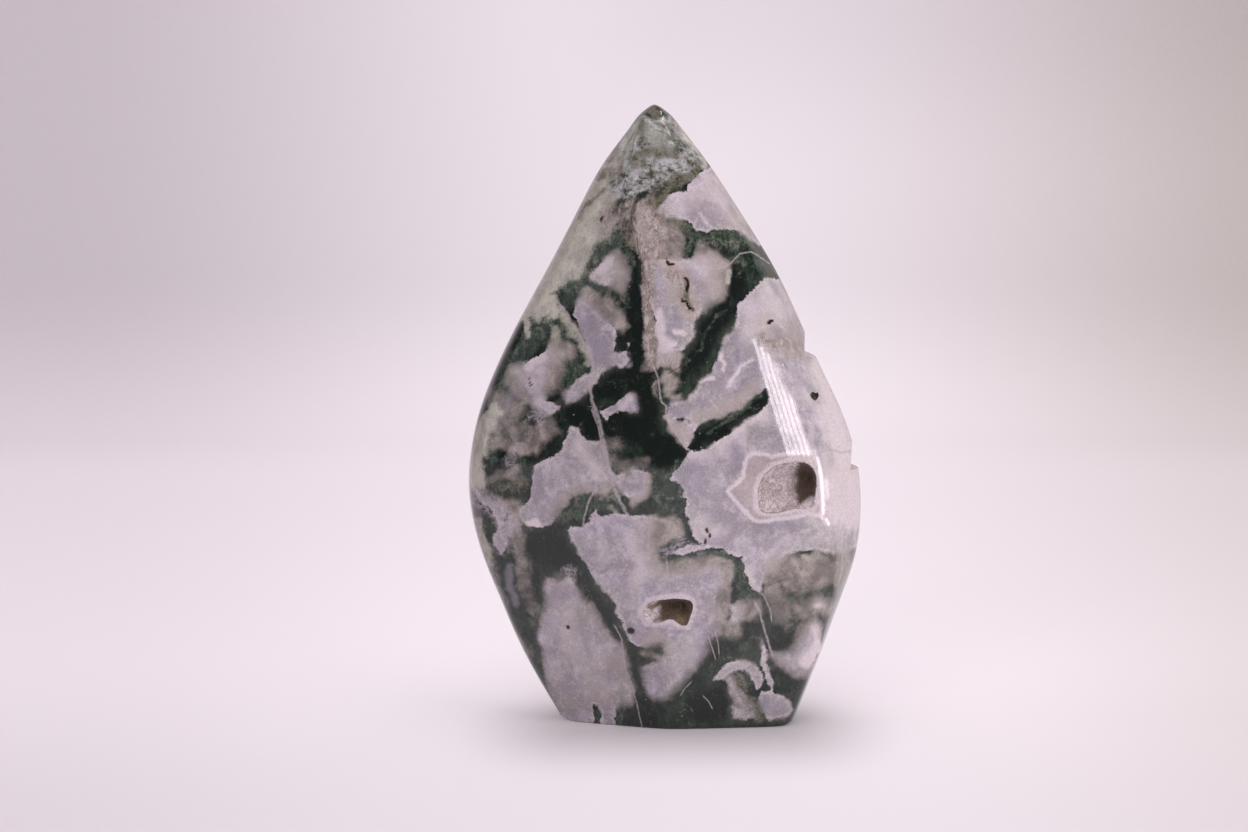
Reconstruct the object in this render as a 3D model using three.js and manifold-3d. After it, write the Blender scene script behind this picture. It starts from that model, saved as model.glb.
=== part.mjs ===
// A moss agate flame carving: one polished freeform stone that stands on a flat base and rises to
// a rounded point. Its front has three long, soft facets, which are a broad one on the left, one
// in the middle that narrows towards the tip, and a bevel on the right. The back has the same
// facets turned half round. Two natural hollows open in the front, and each has one crust of
// small quartz crystals. A small pit and two chips lie near the right edge.
// Millimetres, +Z up, front towards -Y, origin on the base plane under the middle of the stone.

import * as THREE from "three";
import { ConvexGeometry } from "three/addons/geometries/ConvexGeometry.js";
import { mergeVertices } from "three/addons/utils/BufferGeometryUtils.js";
import Module from "manifold-3d";

const wasm = await Module();
wasm.setup();

// Driving dimensions
const HEIGHT = 100;
const HALF_WIDTH = 32;
const HALF_THICKNESS = 15.5;
const TIP_RADIUS = 2.2;
const BASE_EDGE_RADIUS = 0.8;

// How finely the faceted surface is divided
const STEPS_AROUND = 72;
const ROWS_UP = 40;
const ROWS_IN_BASE_EDGE = 3;
const ROWS_IN_TIP = 4;

// How sharply neighbouring facets of the stone meet: higher is sharper
const RIDGE_SHARPNESS = 16;

// The stone at chosen heights. Up is a share of HEIGHT, left and right are shares of HALF_WIDTH,
// depth is a share of HALF_THICKNESS, and ridge and bevel say where the front's two long edges
// lie across the stone, from -1 at its left side to 1 at its right.
const STATIONS = [
  { up: 0.0, left: 0.528, right: 0.662, depth: 0.677, ridge: -0.1, bevel: 0.9 },
  { up: 0.12, left: 0.738, right: 0.806, depth: 0.826, ridge: -0.08, bevel: 0.9 },
  { up: 0.2, left: 0.845, right: 0.898, depth: 0.91, ridge: -0.07, bevel: 0.87 },
  { up: 0.27, left: 0.931, right: 0.972, depth: 0.968, ridge: -0.07, bevel: 0.83 },
  { up: 0.33, left: 0.981, right: 0.998, depth: 0.994, ridge: -0.07, bevel: 0.8 },
  { up: 0.38, left: 1.0, right: 0.997, depth: 1.0, ridge: -0.07, bevel: 0.78 },
  { up: 0.44, left: 0.987, right: 0.965, depth: 0.986, ridge: -0.07, bevel: 0.76 },
  { up: 0.5, left: 0.947, right: 0.903, depth: 0.954, ridge: -0.07, bevel: 0.76 },
  { up: 0.57, left: 0.865, right: 0.799, depth: 0.9, ridge: -0.08, bevel: 0.77 },
  { up: 0.65, left: 0.744, right: 0.684, depth: 0.82, ridge: -0.11, bevel: 0.8 },
  { up: 0.74, left: 0.591, right: 0.547, depth: 0.7, ridge: -0.19, bevel: 0.82 },
  { up: 0.84, left: 0.428, right: 0.353, depth: 0.53, ridge: -0.38, bevel: 0.8 },
  { up: 0.91, left: 0.305, right: 0.206, depth: 0.39, ridge: -0.5, bevel: 0.72 },
  { up: 0.96, left: 0.189, right: 0.086, depth: 0.27, ridge: -0.58, bevel: 0.64 },
  { up: 1.0, left: 0.1, right: -0.012, depth: 0.15, ridge: -0.62, bevel: 0.6 },
];

// Where the facets meet in a level section, apart from the ridge and the bevel. Across runs from
// -1 at the left side to 1 at the right, and deep from -1 at the front to 1 at the back.
const LEFT_FRONT_EDGE = { across: -0.95, deep: -0.42 };
const LEFT_BACK_EDGE = { across: -1.0, deep: 0.25 };
const RIGHT_EDGE = { across: 1.0, deep: 0.05 };
const BEVEL_DEEP = -0.8;
const BACK_BEVEL = { across: -0.78, deep: 0.8 };
const BACK_RIGHT_RIDGE = { across: 0.82, deep: 0.62 };

// The natural hollows in the front. The outline goes clockwise as seen from the front, in
// millimetres from the hollow's middle; face is the depth at which it has that size. Lean says
// how far the bottom slides to the right and up, as shares of the half width. Steps and rows say
// how finely the hollow is divided, and crystals how many its crust has around and down.
const UPPER_HOLLOW = {
  x: 19.2,
  z: 39.8,
  face: -13,
  halfWidth: 4.6,
  halfHeight: 4.1,
  deepest: 6.2,
  leanRight: 0.9,
  leanUp: 0.2,
  steps: 30,
  rows: 7,
  crystals: { around: 22, down: 6 },
  outline: [
    [-4.7, -1.4], [-4.3, 1.2], [-2.6, 3.1], [0.4, 4.1], [3.4, 3.8],
    [4.5, 2.2], [4.6, -1.0], [4.1, -3.1], [1.0, -3.5], [-2.6, -4.1], [-4.4, -3.6],
  ],
};
const LOWER_HOLLOW = {
  x: 0.3,
  z: 19.8,
  face: -13.4,
  halfWidth: 3.9,
  halfHeight: 2.1,
  deepest: 4.6,
  leanRight: 0.6,
  leanUp: 0.15,
  steps: 26,
  rows: 6,
  crystals: { around: 18, down: 5 },
  outline: [
    [-4.1, -0.2], [-3.0, 1.6], [-0.8, 2.1], [2.0, 2.3], [3.8, 1.7],
    [3.7, -0.3], [2.9, -2.1], [1.9, -2.0], [0.6, -1.1], [-1.6, -1.7], [-3.3, -1.6],
  ],
};
const EDGE_PIT = {
  x: 24.2,
  z: 53.9,
  face: -8,
  halfWidth: 0.8,
  halfHeight: 0.8,
  deepest: 2.4,
  leanRight: 0,
  leanUp: 0,
  steps: 8,
  rows: 2,
  outline: [
    [-0.8, 0.1], [-0.6, 0.5], [-0.1, 0.1], [0.4, 0.8],
    [0.5, 0.2], [0.8, -0.3], [0.1, -0.8], [-0.5, -0.5],
  ],
};

// A hollow's width falls from its full size at the face to nothing at the bottom by two powers:
// the first says how soon it narrows, the second how blunt its bottom is.
const NARROWING = 0.9;
const BLUNTNESS = 0.8;

// How far in front of its face a hollow's cutter starts, as a share of its depth
const CUTTER_STARTS_AT = -0.7;

// The crystal crusts: they lie clear of the hollow's wall by a thin gap, and cover its depth
// from one share to another. A crystal has between half and all of the crystal height.
const CRUST_GAP = 0.3;
const CRUST_THICKNESS = 0.55;
const CRUST_STARTS_AT = 0.2;
const CRUST_ENDS_AT = 0.94;
const CRYSTAL_HEIGHT = 0.55;
const CRYSTAL_SHUFFLE_DOWN = 4.1;
const CRYSTAL_SHUFFLE_AROUND = 2.3;

// The chips in the right edge: each runs in from its top and ends below on a small ledge, of
// which inner is the deepest point and outer is a point on its way out.
const UPPER_CHIP = { top: [22.9, 64.4], inner: [21.6, 60.2], outer: [25.5, 59.0] };
const LOWER_CHIP = { top: [30.7, 46.8], inner: [29.5, 41.4], outer: [32.5, 41.0] };
const CHIP_HALF_LENGTH = 6;
const CHIP_DISH = 0.7;
const CHIP_STEPS = 8;

// A smooth curve through the values that the stations give for one key, with a level bend at
// both ends, as a function of the share of the height.
function curveThrough(key) {
  const at = STATIONS.map((station) => station.up);
  const value = STATIONS.map((station) => station[key]);
  const last = at.length - 1;
  const bend = new Array(at.length).fill(0);
  const carry = new Array(at.length).fill(0);
  for (let i = 1; i < last; i++) {
    const share = (at[i] - at[i - 1]) / (at[i + 1] - at[i - 1]);
    const pivot = share * bend[i - 1] + 2;
    const rise = (value[i + 1] - value[i]) / (at[i + 1] - at[i]);
    const before = (value[i] - value[i - 1]) / (at[i] - at[i - 1]);
    bend[i] = (share - 1) / pivot;
    carry[i] = ((6 * (rise - before)) / (at[i + 1] - at[i - 1]) - share * carry[i - 1]) / pivot;
  }
  for (let i = last - 1; i > 0; i--) {
    bend[i] = bend[i] * bend[i + 1] + carry[i];
  }
  bend[0] = 0;
  return (share) => {
    let i = 0;
    while (i < last - 1 && share > at[i + 1]) i++;
    const span = at[i + 1] - at[i];
    const a = (at[i + 1] - share) / span;
    const b = 1 - a;
    const sag = ((a ** 3 - a) * bend[i] + (b ** 3 - b) * bend[i + 1]) * (span ** 2 / 6);
    return a * value[i] + b * value[i + 1] + sag;
  };
}

const leftAt = curveThrough("left");
const rightAt = curveThrough("right");
const depthAt = curveThrough("depth");
const ridgeAt = curveThrough("ridge");
const bevelAt = curveThrough("bevel");

// How much a level section shrinks near the rounded tip and the eased base edge.
function easing(z, halfWidth) {
  const intoTip = Math.max(0, z - (HEIGHT - TIP_RADIUS)) / TIP_RADIUS;
  const intoBase = Math.max(0, BASE_EDGE_RADIUS - z);
  const inset = BASE_EDGE_RADIUS - Math.sqrt(BASE_EDGE_RADIUS ** 2 - intoBase ** 2);
  return Math.sqrt(Math.max(0, 1 - intoTip ** 2)) * (1 - inset / halfWidth);
}

// The corners of a level section, in the order that runs from the left side along the front.
function sectionCorners(up) {
  return [
    [LEFT_FRONT_EDGE.across, LEFT_FRONT_EDGE.deep],
    [ridgeAt(up), -1],
    [bevelAt(up), BEVEL_DEEP],
    [RIGHT_EDGE.across, RIGHT_EDGE.deep],
    [BACK_RIGHT_RIDGE.across, BACK_RIGHT_RIDGE.deep],
    [-ridgeAt(up), 1],
    [BACK_BEVEL.across, BACK_BEVEL.deep],
    [LEFT_BACK_EDGE.across, LEFT_BACK_EDGE.deep],
  ];
}

// A level section of the stone: a many-sided outline with its corners rounded off, fitted to the
// stone's exact width and thickness at that height.
function sectionAt(z) {
  const up = z / HEIGHT;
  const left = leftAt(up) * HALF_WIDTH;
  const right = rightAt(up) * HALF_WIDTH;
  const middle = (right - left) / 2;
  const halfWidth = (right + left) / 2;
  const depth = depthAt(up) * HALF_THICKNESS;
  const corners = sectionCorners(up);
  const sides = corners.map(([x, y], i) => {
    const [nextX, nextY] = corners[(i + 1) % corners.length];
    const length = Math.hypot(nextX - x, nextY - y);
    const outX = (nextY - y) / length;
    const outY = (x - nextX) / length;
    return { outX, outY, away: outX * x + outY * y };
  });
  const points = [];
  for (let i = 0; i < STEPS_AROUND; i++) {
    const turn = (i / STEPS_AROUND) * 2 * Math.PI;
    const x = Math.cos(turn);
    const y = Math.sin(turn);
    const sum = sides.reduce((total, side) => {
      const reach = (side.outX * x + side.outY * y) / side.away;
      return total + Math.max(0, reach) ** RIDGE_SHARPNESS;
    }, 0);
    const radius = sum ** (-1 / RIDGE_SHARPNESS);
    points.push([x * radius, y * radius]);
  }
  const shrink = easing(z, halfWidth);
  const fit = [0, 1].map((axis) => {
    const low = Math.min(...points.map((point) => point[axis]));
    const high = Math.max(...points.map((point) => point[axis]));
    return (value) => (2 * (value - low)) / (high - low) - 1;
  });
  return points.map(
    ([x, y]) => new THREE.Vector3(middle + fit[0](x) * halfWidth * shrink, fit[1](y) * depth * shrink, z),
  );
}

// The heights at which the stone's surface has a row of points.
function rowHeights() {
  const heights = [];
  for (let i = 0; i < ROWS_IN_BASE_EDGE; i++) {
    heights.push(BASE_EDGE_RADIUS * (1 - Math.cos((i / ROWS_IN_BASE_EDGE) * (Math.PI / 2))));
  }
  const tipStart = HEIGHT - TIP_RADIUS;
  for (let i = 0; i <= ROWS_UP; i++) {
    heights.push(BASE_EDGE_RADIUS + ((tipStart - BASE_EDGE_RADIUS) * i) / ROWS_UP);
  }
  for (let i = 1; i < ROWS_IN_TIP; i++) {
    heights.push(tipStart + TIP_RADIUS * Math.sin((i / ROWS_IN_TIP) * (Math.PI / 2)));
  }
  return heights;
}

// A closed skin over rings of points, with each end closed by a fan of faces to its middle
// point. Where raised gives a point for a cell, that cell becomes a small pyramid.
function closedSkin(rings, firstMiddle, lastMiddle, raised = () => null) {
  const count = rings[0].length;
  const points = rings.flat();
  const faces = [];
  const add = (point) => points.push(point) - 1;
  const first = add(firstMiddle);
  const last = add(lastMiddle);
  for (let i = 0; i < count; i++) {
    const next = (i + 1) % count;
    faces.push([first, next, i]);
    const top = (rings.length - 1) * count;
    faces.push([last, top + i, top + next]);
    for (let row = 0; row + 1 < rings.length; row++) {
      const a = row * count + i;
      const b = row * count + next;
      const c = (row + 1) * count + next;
      const d = (row + 1) * count + i;
      const peak = raised(row, i, [a, b, c, d].map((index) => points[index]));
      if (peak) {
        const p = add(peak);
        faces.push([a, b, p], [b, c, p], [c, d, p], [d, a, p]);
      } else {
        faces.push([a, b, c], [a, c, d]);
      }
    }
  }
  const geometry = new THREE.BufferGeometry();
  const coordinates = points.flatMap((point) => [point.x, point.y, point.z]);
  geometry.setAttribute("position", new THREE.Float32BufferAttribute(coordinates, 3));
  geometry.setIndex(faces.flat());
  return geometry;
}

function solidFrom(geometry) {
  const bare = geometry.clone();
  bare.deleteAttribute("normal");
  bare.deleteAttribute("uv");
  const merged = mergeVertices(bare);
  return new wasm.Manifold(
    new wasm.Mesh({
      numProp: 3,
      vertProperties: new Float32Array(merged.attributes.position.array),
      triVerts: new Uint32Array(merged.index.array),
    }),
  );
}

function geometryFrom(solid) {
  const mesh = solid.getMesh();
  const geometry = new THREE.BufferGeometry();
  geometry.setAttribute("position", new THREE.Float32BufferAttribute(mesh.vertProperties, 3));
  geometry.setIndex(Array.from(mesh.triVerts));
  geometry.computeVertexNormals();
  return geometry;
}

// The uncut stone, from its base to its tip.
function wholeStone() {
  const rings = rowHeights().map(sectionAt);
  const baseMiddle = new THREE.Vector3(0, 0, 0);
  const tipMiddle = new THREE.Vector3(((rightAt(1) - leftAt(1)) * HALF_WIDTH) / 2, 0, HEIGHT);
  return closedSkin(rings, baseMiddle, tipMiddle);
}

// A point on a hollow's wall: turn runs once round the outline and down goes from 0 at the face
// to 1 at the bottom. Inset is how far inside the wall the point lies.
function wallPoint(hollow, rim, turn, down, inset = 0) {
  const width = down > 0 ? (1 - down ** NARROWING) ** BLUNTNESS : 1;
  const slide = (1 - width) * hollow.halfWidth;
  const edge = rim.getPoint(turn);
  return new THREE.Vector3(
    hollow.x + edge.x * width * (1 - inset / hollow.halfWidth) + slide * hollow.leanRight,
    hollow.face + down * (hollow.deepest - inset),
    hollow.z + edge.y * width * (1 - inset / hollow.halfHeight) + slide * hollow.leanUp,
  );
}

function rimOf(hollow) {
  const points = hollow.outline.map(([x, z]) => new THREE.Vector3(x, z, 0));
  return new THREE.CatmullRomCurve3(points, true);
}

// One turn of points round a hollow's wall.
function wallRing(hollow, rim, steps, down, inset = 0) {
  const ring = [];
  for (let i = 0; i < steps; i++) {
    ring.push(wallPoint(hollow, rim, i / steps, down, inset));
  }
  return ring;
}

// The block that opens a hollow in the stone, from in front of the face to the hollow's bottom.
function hollowCutter(hollow) {
  const rim = rimOf(hollow);
  const rings = [wallRing(hollow, rim, hollow.steps, CUTTER_STARTS_AT)];
  for (let row = 0; row < hollow.rows; row++) {
    rings.push(wallRing(hollow, rim, hollow.steps, row / hollow.rows));
  }
  const start = new THREE.Vector3(hollow.x, rings[0][0].y, hollow.z);
  return closedSkin(rings, start, wallPoint(hollow, rim, 0, 1));
}

// A crust of crystals that lines a hollow: a thin bowl whose open side is set with small
// pyramids with flat faces.
function crystalCrust(hollow) {
  const rim = rimOf(hollow);
  const { around, down: rows } = hollow.crystals;
  const openInset = CRUST_GAP + CRUST_THICKNESS;
  const downAt = (row) => CRUST_STARTS_AT + ((CRUST_ENDS_AT - CRUST_STARTS_AT) * row) / (rows - 1);
  const rings = [];
  for (let row = rows - 1; row >= 0; row--) {
    rings.push(wallRing(hollow, rim, around, downAt(row), openInset));
  }
  for (let row = 0; row < rows; row++) {
    rings.push(wallRing(hollow, rim, around, downAt(row), CRUST_GAP));
  }
  const raised = (row, i, [a, b, c, d]) => {
    if (row >= rows - 1) return null;
    const middle = a.clone().add(b).add(c).add(d).divideScalar(4);
    const out = c.clone().sub(a).cross(d.clone().sub(b)).normalize();
    const shuffle = Math.sin(row * CRYSTAL_SHUFFLE_DOWN + i * CRYSTAL_SHUFFLE_AROUND);
    return middle.addScaledVector(out, CRYSTAL_HEIGHT * (0.75 + 0.25 * shuffle));
  };
  const bottom = (inset) => wallPoint(hollow, rim, 0, 1, inset);
  return closedSkin(rings, bottom(openInset), bottom(CRUST_GAP), raised);
}

// A block that takes a chip out of the right edge: one face runs down from the chip's top and is
// slightly dished, the other is its ledge.
function chipCutter(chip) {
  const [innerX, innerZ] = chip.inner;
  const [outerX, outerZ] = chip.outer;
  const fall = (innerZ - outerZ) / (outerX - innerX);
  const far = HALF_WIDTH + 4;
  const points = [];
  for (let i = 0; i <= CHIP_STEPS; i++) {
    const along = (2 * i) / CHIP_STEPS - 1;
    const y = along * CHIP_HALF_LENGTH;
    const dish = CHIP_DISH * along ** 2;
    points.push(new THREE.Vector3(innerX + dish, y, innerZ - dish * fall));
    points.push(new THREE.Vector3(far, y, innerZ - (far - innerX) * fall));
    points.push(new THREE.Vector3(chip.top[0] + dish, y, chip.top[1] - 2 * dish));
    points.push(new THREE.Vector3(far, y, chip.top[1]));
  }
  return new ConvexGeometry(points);
}

function stoneGeometry() {
  const cutters = [
    hollowCutter(UPPER_HOLLOW),
    hollowCutter(LOWER_HOLLOW),
    hollowCutter(EDGE_PIT),
    chipCutter(UPPER_CHIP),
    chipCutter(LOWER_CHIP),
  ];
  let stone = solidFrom(wholeStone());
  for (const cutter of cutters) {
    stone = stone.subtract(solidFrom(cutter));
  }
  return geometryFrom(stone);
}

function crustGeometry(hollow) {
  return geometryFrom(solidFrom(crystalCrust(hollow)));
}

const agate = new THREE.MeshStandardMaterial({ color: 0x6f7570, roughness: 0.08, metalness: 0 });
const druse = new THREE.MeshStandardMaterial({ color: 0xbcaeb2, roughness: 0.45, metalness: 0 });

function named(name, geometry, material) {
  const mesh = new THREE.Mesh(geometry, material);
  mesh.name = name;
  return mesh;
}

const flame = new THREE.Group();
flame.add(named("flame_stone", stoneGeometry(), agate));
flame.add(named("upper_crystal_crust", crustGeometry(UPPER_HOLLOW), druse));
flame.add(named("lower_crystal_crust", crustGeometry(LOWER_HOLLOW), druse));

export default flame;
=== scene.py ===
import math

import bmesh
import bpy
import numpy as np
from bpy.props import FloatProperty, FloatVectorProperty, IntProperty, PointerProperty
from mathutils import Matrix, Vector
from mathutils.bvhtree import BVHTree
from mathutils.interpolate import poly_3d_calc


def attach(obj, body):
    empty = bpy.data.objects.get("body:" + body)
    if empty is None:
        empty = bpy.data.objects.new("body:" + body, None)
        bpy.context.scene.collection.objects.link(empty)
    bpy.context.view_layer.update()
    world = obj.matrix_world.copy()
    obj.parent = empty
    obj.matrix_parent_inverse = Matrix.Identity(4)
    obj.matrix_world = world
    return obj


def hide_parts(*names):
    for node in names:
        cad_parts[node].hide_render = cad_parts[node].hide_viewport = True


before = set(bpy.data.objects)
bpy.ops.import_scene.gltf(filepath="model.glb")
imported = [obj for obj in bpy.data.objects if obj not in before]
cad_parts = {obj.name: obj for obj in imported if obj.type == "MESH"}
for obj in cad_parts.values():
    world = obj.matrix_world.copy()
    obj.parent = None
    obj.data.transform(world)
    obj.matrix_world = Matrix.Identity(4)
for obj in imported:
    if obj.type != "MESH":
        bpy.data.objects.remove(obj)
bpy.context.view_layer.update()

bl_info = {
    "name": "Moss agate flame",
    "version": (1, 0, 0),
    "blender": (4, 5, 0),
    "location": "View3D > Sidebar > Agate flame",
    "description": "Builds a polished moss agate flame with two crystal-lined hollows",
    "category": "Object",
}

MM = 0.001

# The stone at chosen heights, as shares of the height, half width and half thickness; ridge and
# bevel say where the front's two long edges lie across it.
UP = (0, 0.12, 0.2, 0.27, 0.33, 0.38, 0.44, 0.5, 0.57, 0.65, 0.74, 0.84, 0.91, 0.96, 1)
LEFT = (0.528, 0.738, 0.845, 0.931, 0.981, 1, 0.987, 0.947, 0.865, 0.744, 0.591, 0.428, 0.305, 0.189, 0.1)
RIGHT = (
    0.662, 0.806, 0.898, 0.972, 0.998, 0.997, 0.965, 0.903, 0.799, 0.684, 0.547, 0.353, 0.206, 0.086,
    -0.012,
)
DEPTH = (0.677, 0.826, 0.91, 0.968, 0.994, 1, 0.986, 0.954, 0.9, 0.82, 0.7, 0.53, 0.39, 0.27, 0.15)
RIDGE = (
    -0.1, -0.08, -0.07, -0.07, -0.07, -0.07, -0.07, -0.07, -0.08, -0.11, -0.19, -0.38, -0.5, -0.58, -0.62,
)
BEVEL = (0.9, 0.9, 0.87, 0.83, 0.8, 0.78, 0.76, 0.76, 0.77, 0.8, 0.82, 0.8, 0.72, 0.64, 0.6)

# Where the facets meet in a level section, apart from the ridge and the bevel: across, deep
LEFT_FRONT_EDGE = (-0.95, -0.42)
LEFT_BACK_EDGE = (-1, 0.25)
RIGHT_EDGE = (1, 0.05)
BEVEL_DEEP = -0.8
BACK_BEVEL = (-0.78, 0.8)
BACK_RIGHT_RIDGE = (0.82, 0.62)

# How finely the skin is made: angles of a section, and its girth in mm with the back counted short
SECTION_ANGLES = 1440
GIRTH = 104
BACK_DETAIL = 0.42
EDGE_ROWS = 4
TIP_ROWS = 10
SHARP_ANGLE = 32

# The hollows: outline in millimetres round a middle, as seen from the front
UPPER_HOLLOW = {
    "x": 19.2, "z": 39.8, "face": -13, "half_width": 4.6, "half_height": 4.1, "deepest": 6.2,
    # painted_shadow_corner: where the painted shadow in the crystal crust begins: left x, lowest z, and its
    # rise
    "lean_right": 0.9, "lean_up": 0.2, "painted_shadow_corner": (20.5, 36.5, 0.6), "stain": 0.35,
    "outline": [
        (-4.7, -1.4), (-4.3, 1.2), (-2.6, 3.1), (0.4, 4.1), (3.4, 3.8), (4.5, 2.2), (4.6, -1), (4.1, -3.1),
        (1, -3.5), (-2.6, -4.1), (-4.4, -3.6),
    ],
}
LOWER_HOLLOW = {
    "x": 0.3, "z": 19.8, "face": -13.4, "half_width": 3.9, "half_height": 2.1, "deepest": 4.6,
    "lean_right": 0.6, "lean_up": 0.15, "painted_shadow_corner": (-1.4, 15.6, 0), "stain": 0.9,
    "outline": [
        (-4.1, -0.2), (-3, 1.6), (-0.8, 2.1), (2, 2.3), (3.8, 1.7), (3.7, -0.3), (2.9, -2.1), (1.9, -2),
        (0.6, -1.1), (-1.6, -1.7), (-3.3, -1.6),
    ],
}
EDGE_PIT = {
    "x": 24.2, "z": 53.9, "face": -8, "half_width": 0.8, "half_height": 0.8, "deepest": 2.4,
    "lean_right": 0, "lean_up": 0,
    "outline": [
        (-1.1, 0.2), (-0.7, 0.6), (-0.2, 0.4), (0.5, 1), (0.7, 0.3), (1.1, -0.3), (0.2, -0.9),
        (-0.7, -0.6),
    ],
}
HOLLOW_STEPS = 110
HOLLOW_ROWS = 26
NARROWING = 0.9
BLUNTNESS = 0.8
CUTTER_STARTS_AT = -0.7
WALL_UNEVENNESS = 0.12

# The crusts: clearance from the hollow's wall, thickness, and where they start above its face
CRUST_GAP = 0.08
CRUST_THICKNESS = 0.14
BRINK_DOWN = -0.05
CRYSTAL_LEAN = 0.55

# The chips in the right edge: top, deepest point of the ledge, and a point on the ledge's way out
UPPER_CHIP = ((22.9, 64.4), (21.6, 60.2), (25.5, 59))
LOWER_CHIP = ((30.7, 46.8), (29.5, 41.4), (32.5, 41))
CHIP_HALF_LENGTH = 6
CHIP_DISH = 0.7
CHIP_STEPS = 24
CHIP_OVERHANG = 4

# The pattern is drawn as it looks from straight ahead of the stone: x and z in millimetres on the
# upright plane through the stone's middle, seen from the eye point.
EYE = Vector((-6.68, -503.22, 111.41))
EDGE_REACH = 3.0
SIDE_LIMIT = 6.0
FAR_OFF = 1e9

# How far the strokes' edges stray: size of the waves, reach, and the seeds across and up
SWAY = ((7, 0.9, (11, 13)), (2.4, 0.5, (12, 14)), (0.9, 0.22, (16, 17)))
SWELL_SEED = 15

# How far strokes and lines reach, how they fade, and how the bubbles' walls fall
STROKE_REACH = 2.5
STROKE_EDGE = 0.86
LINE_REACH = 1.5
LINE_FADE = 0.4
LINE_END = 0.35
BUBBLE_SLOPE = 0.9
BUBBLE_DEPTH = 0.6

# Where the pattern begins to wander on the back, as shares of the half thickness
BACK_STARTS = 0.15
BACK_BLEND = 0.6

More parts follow.
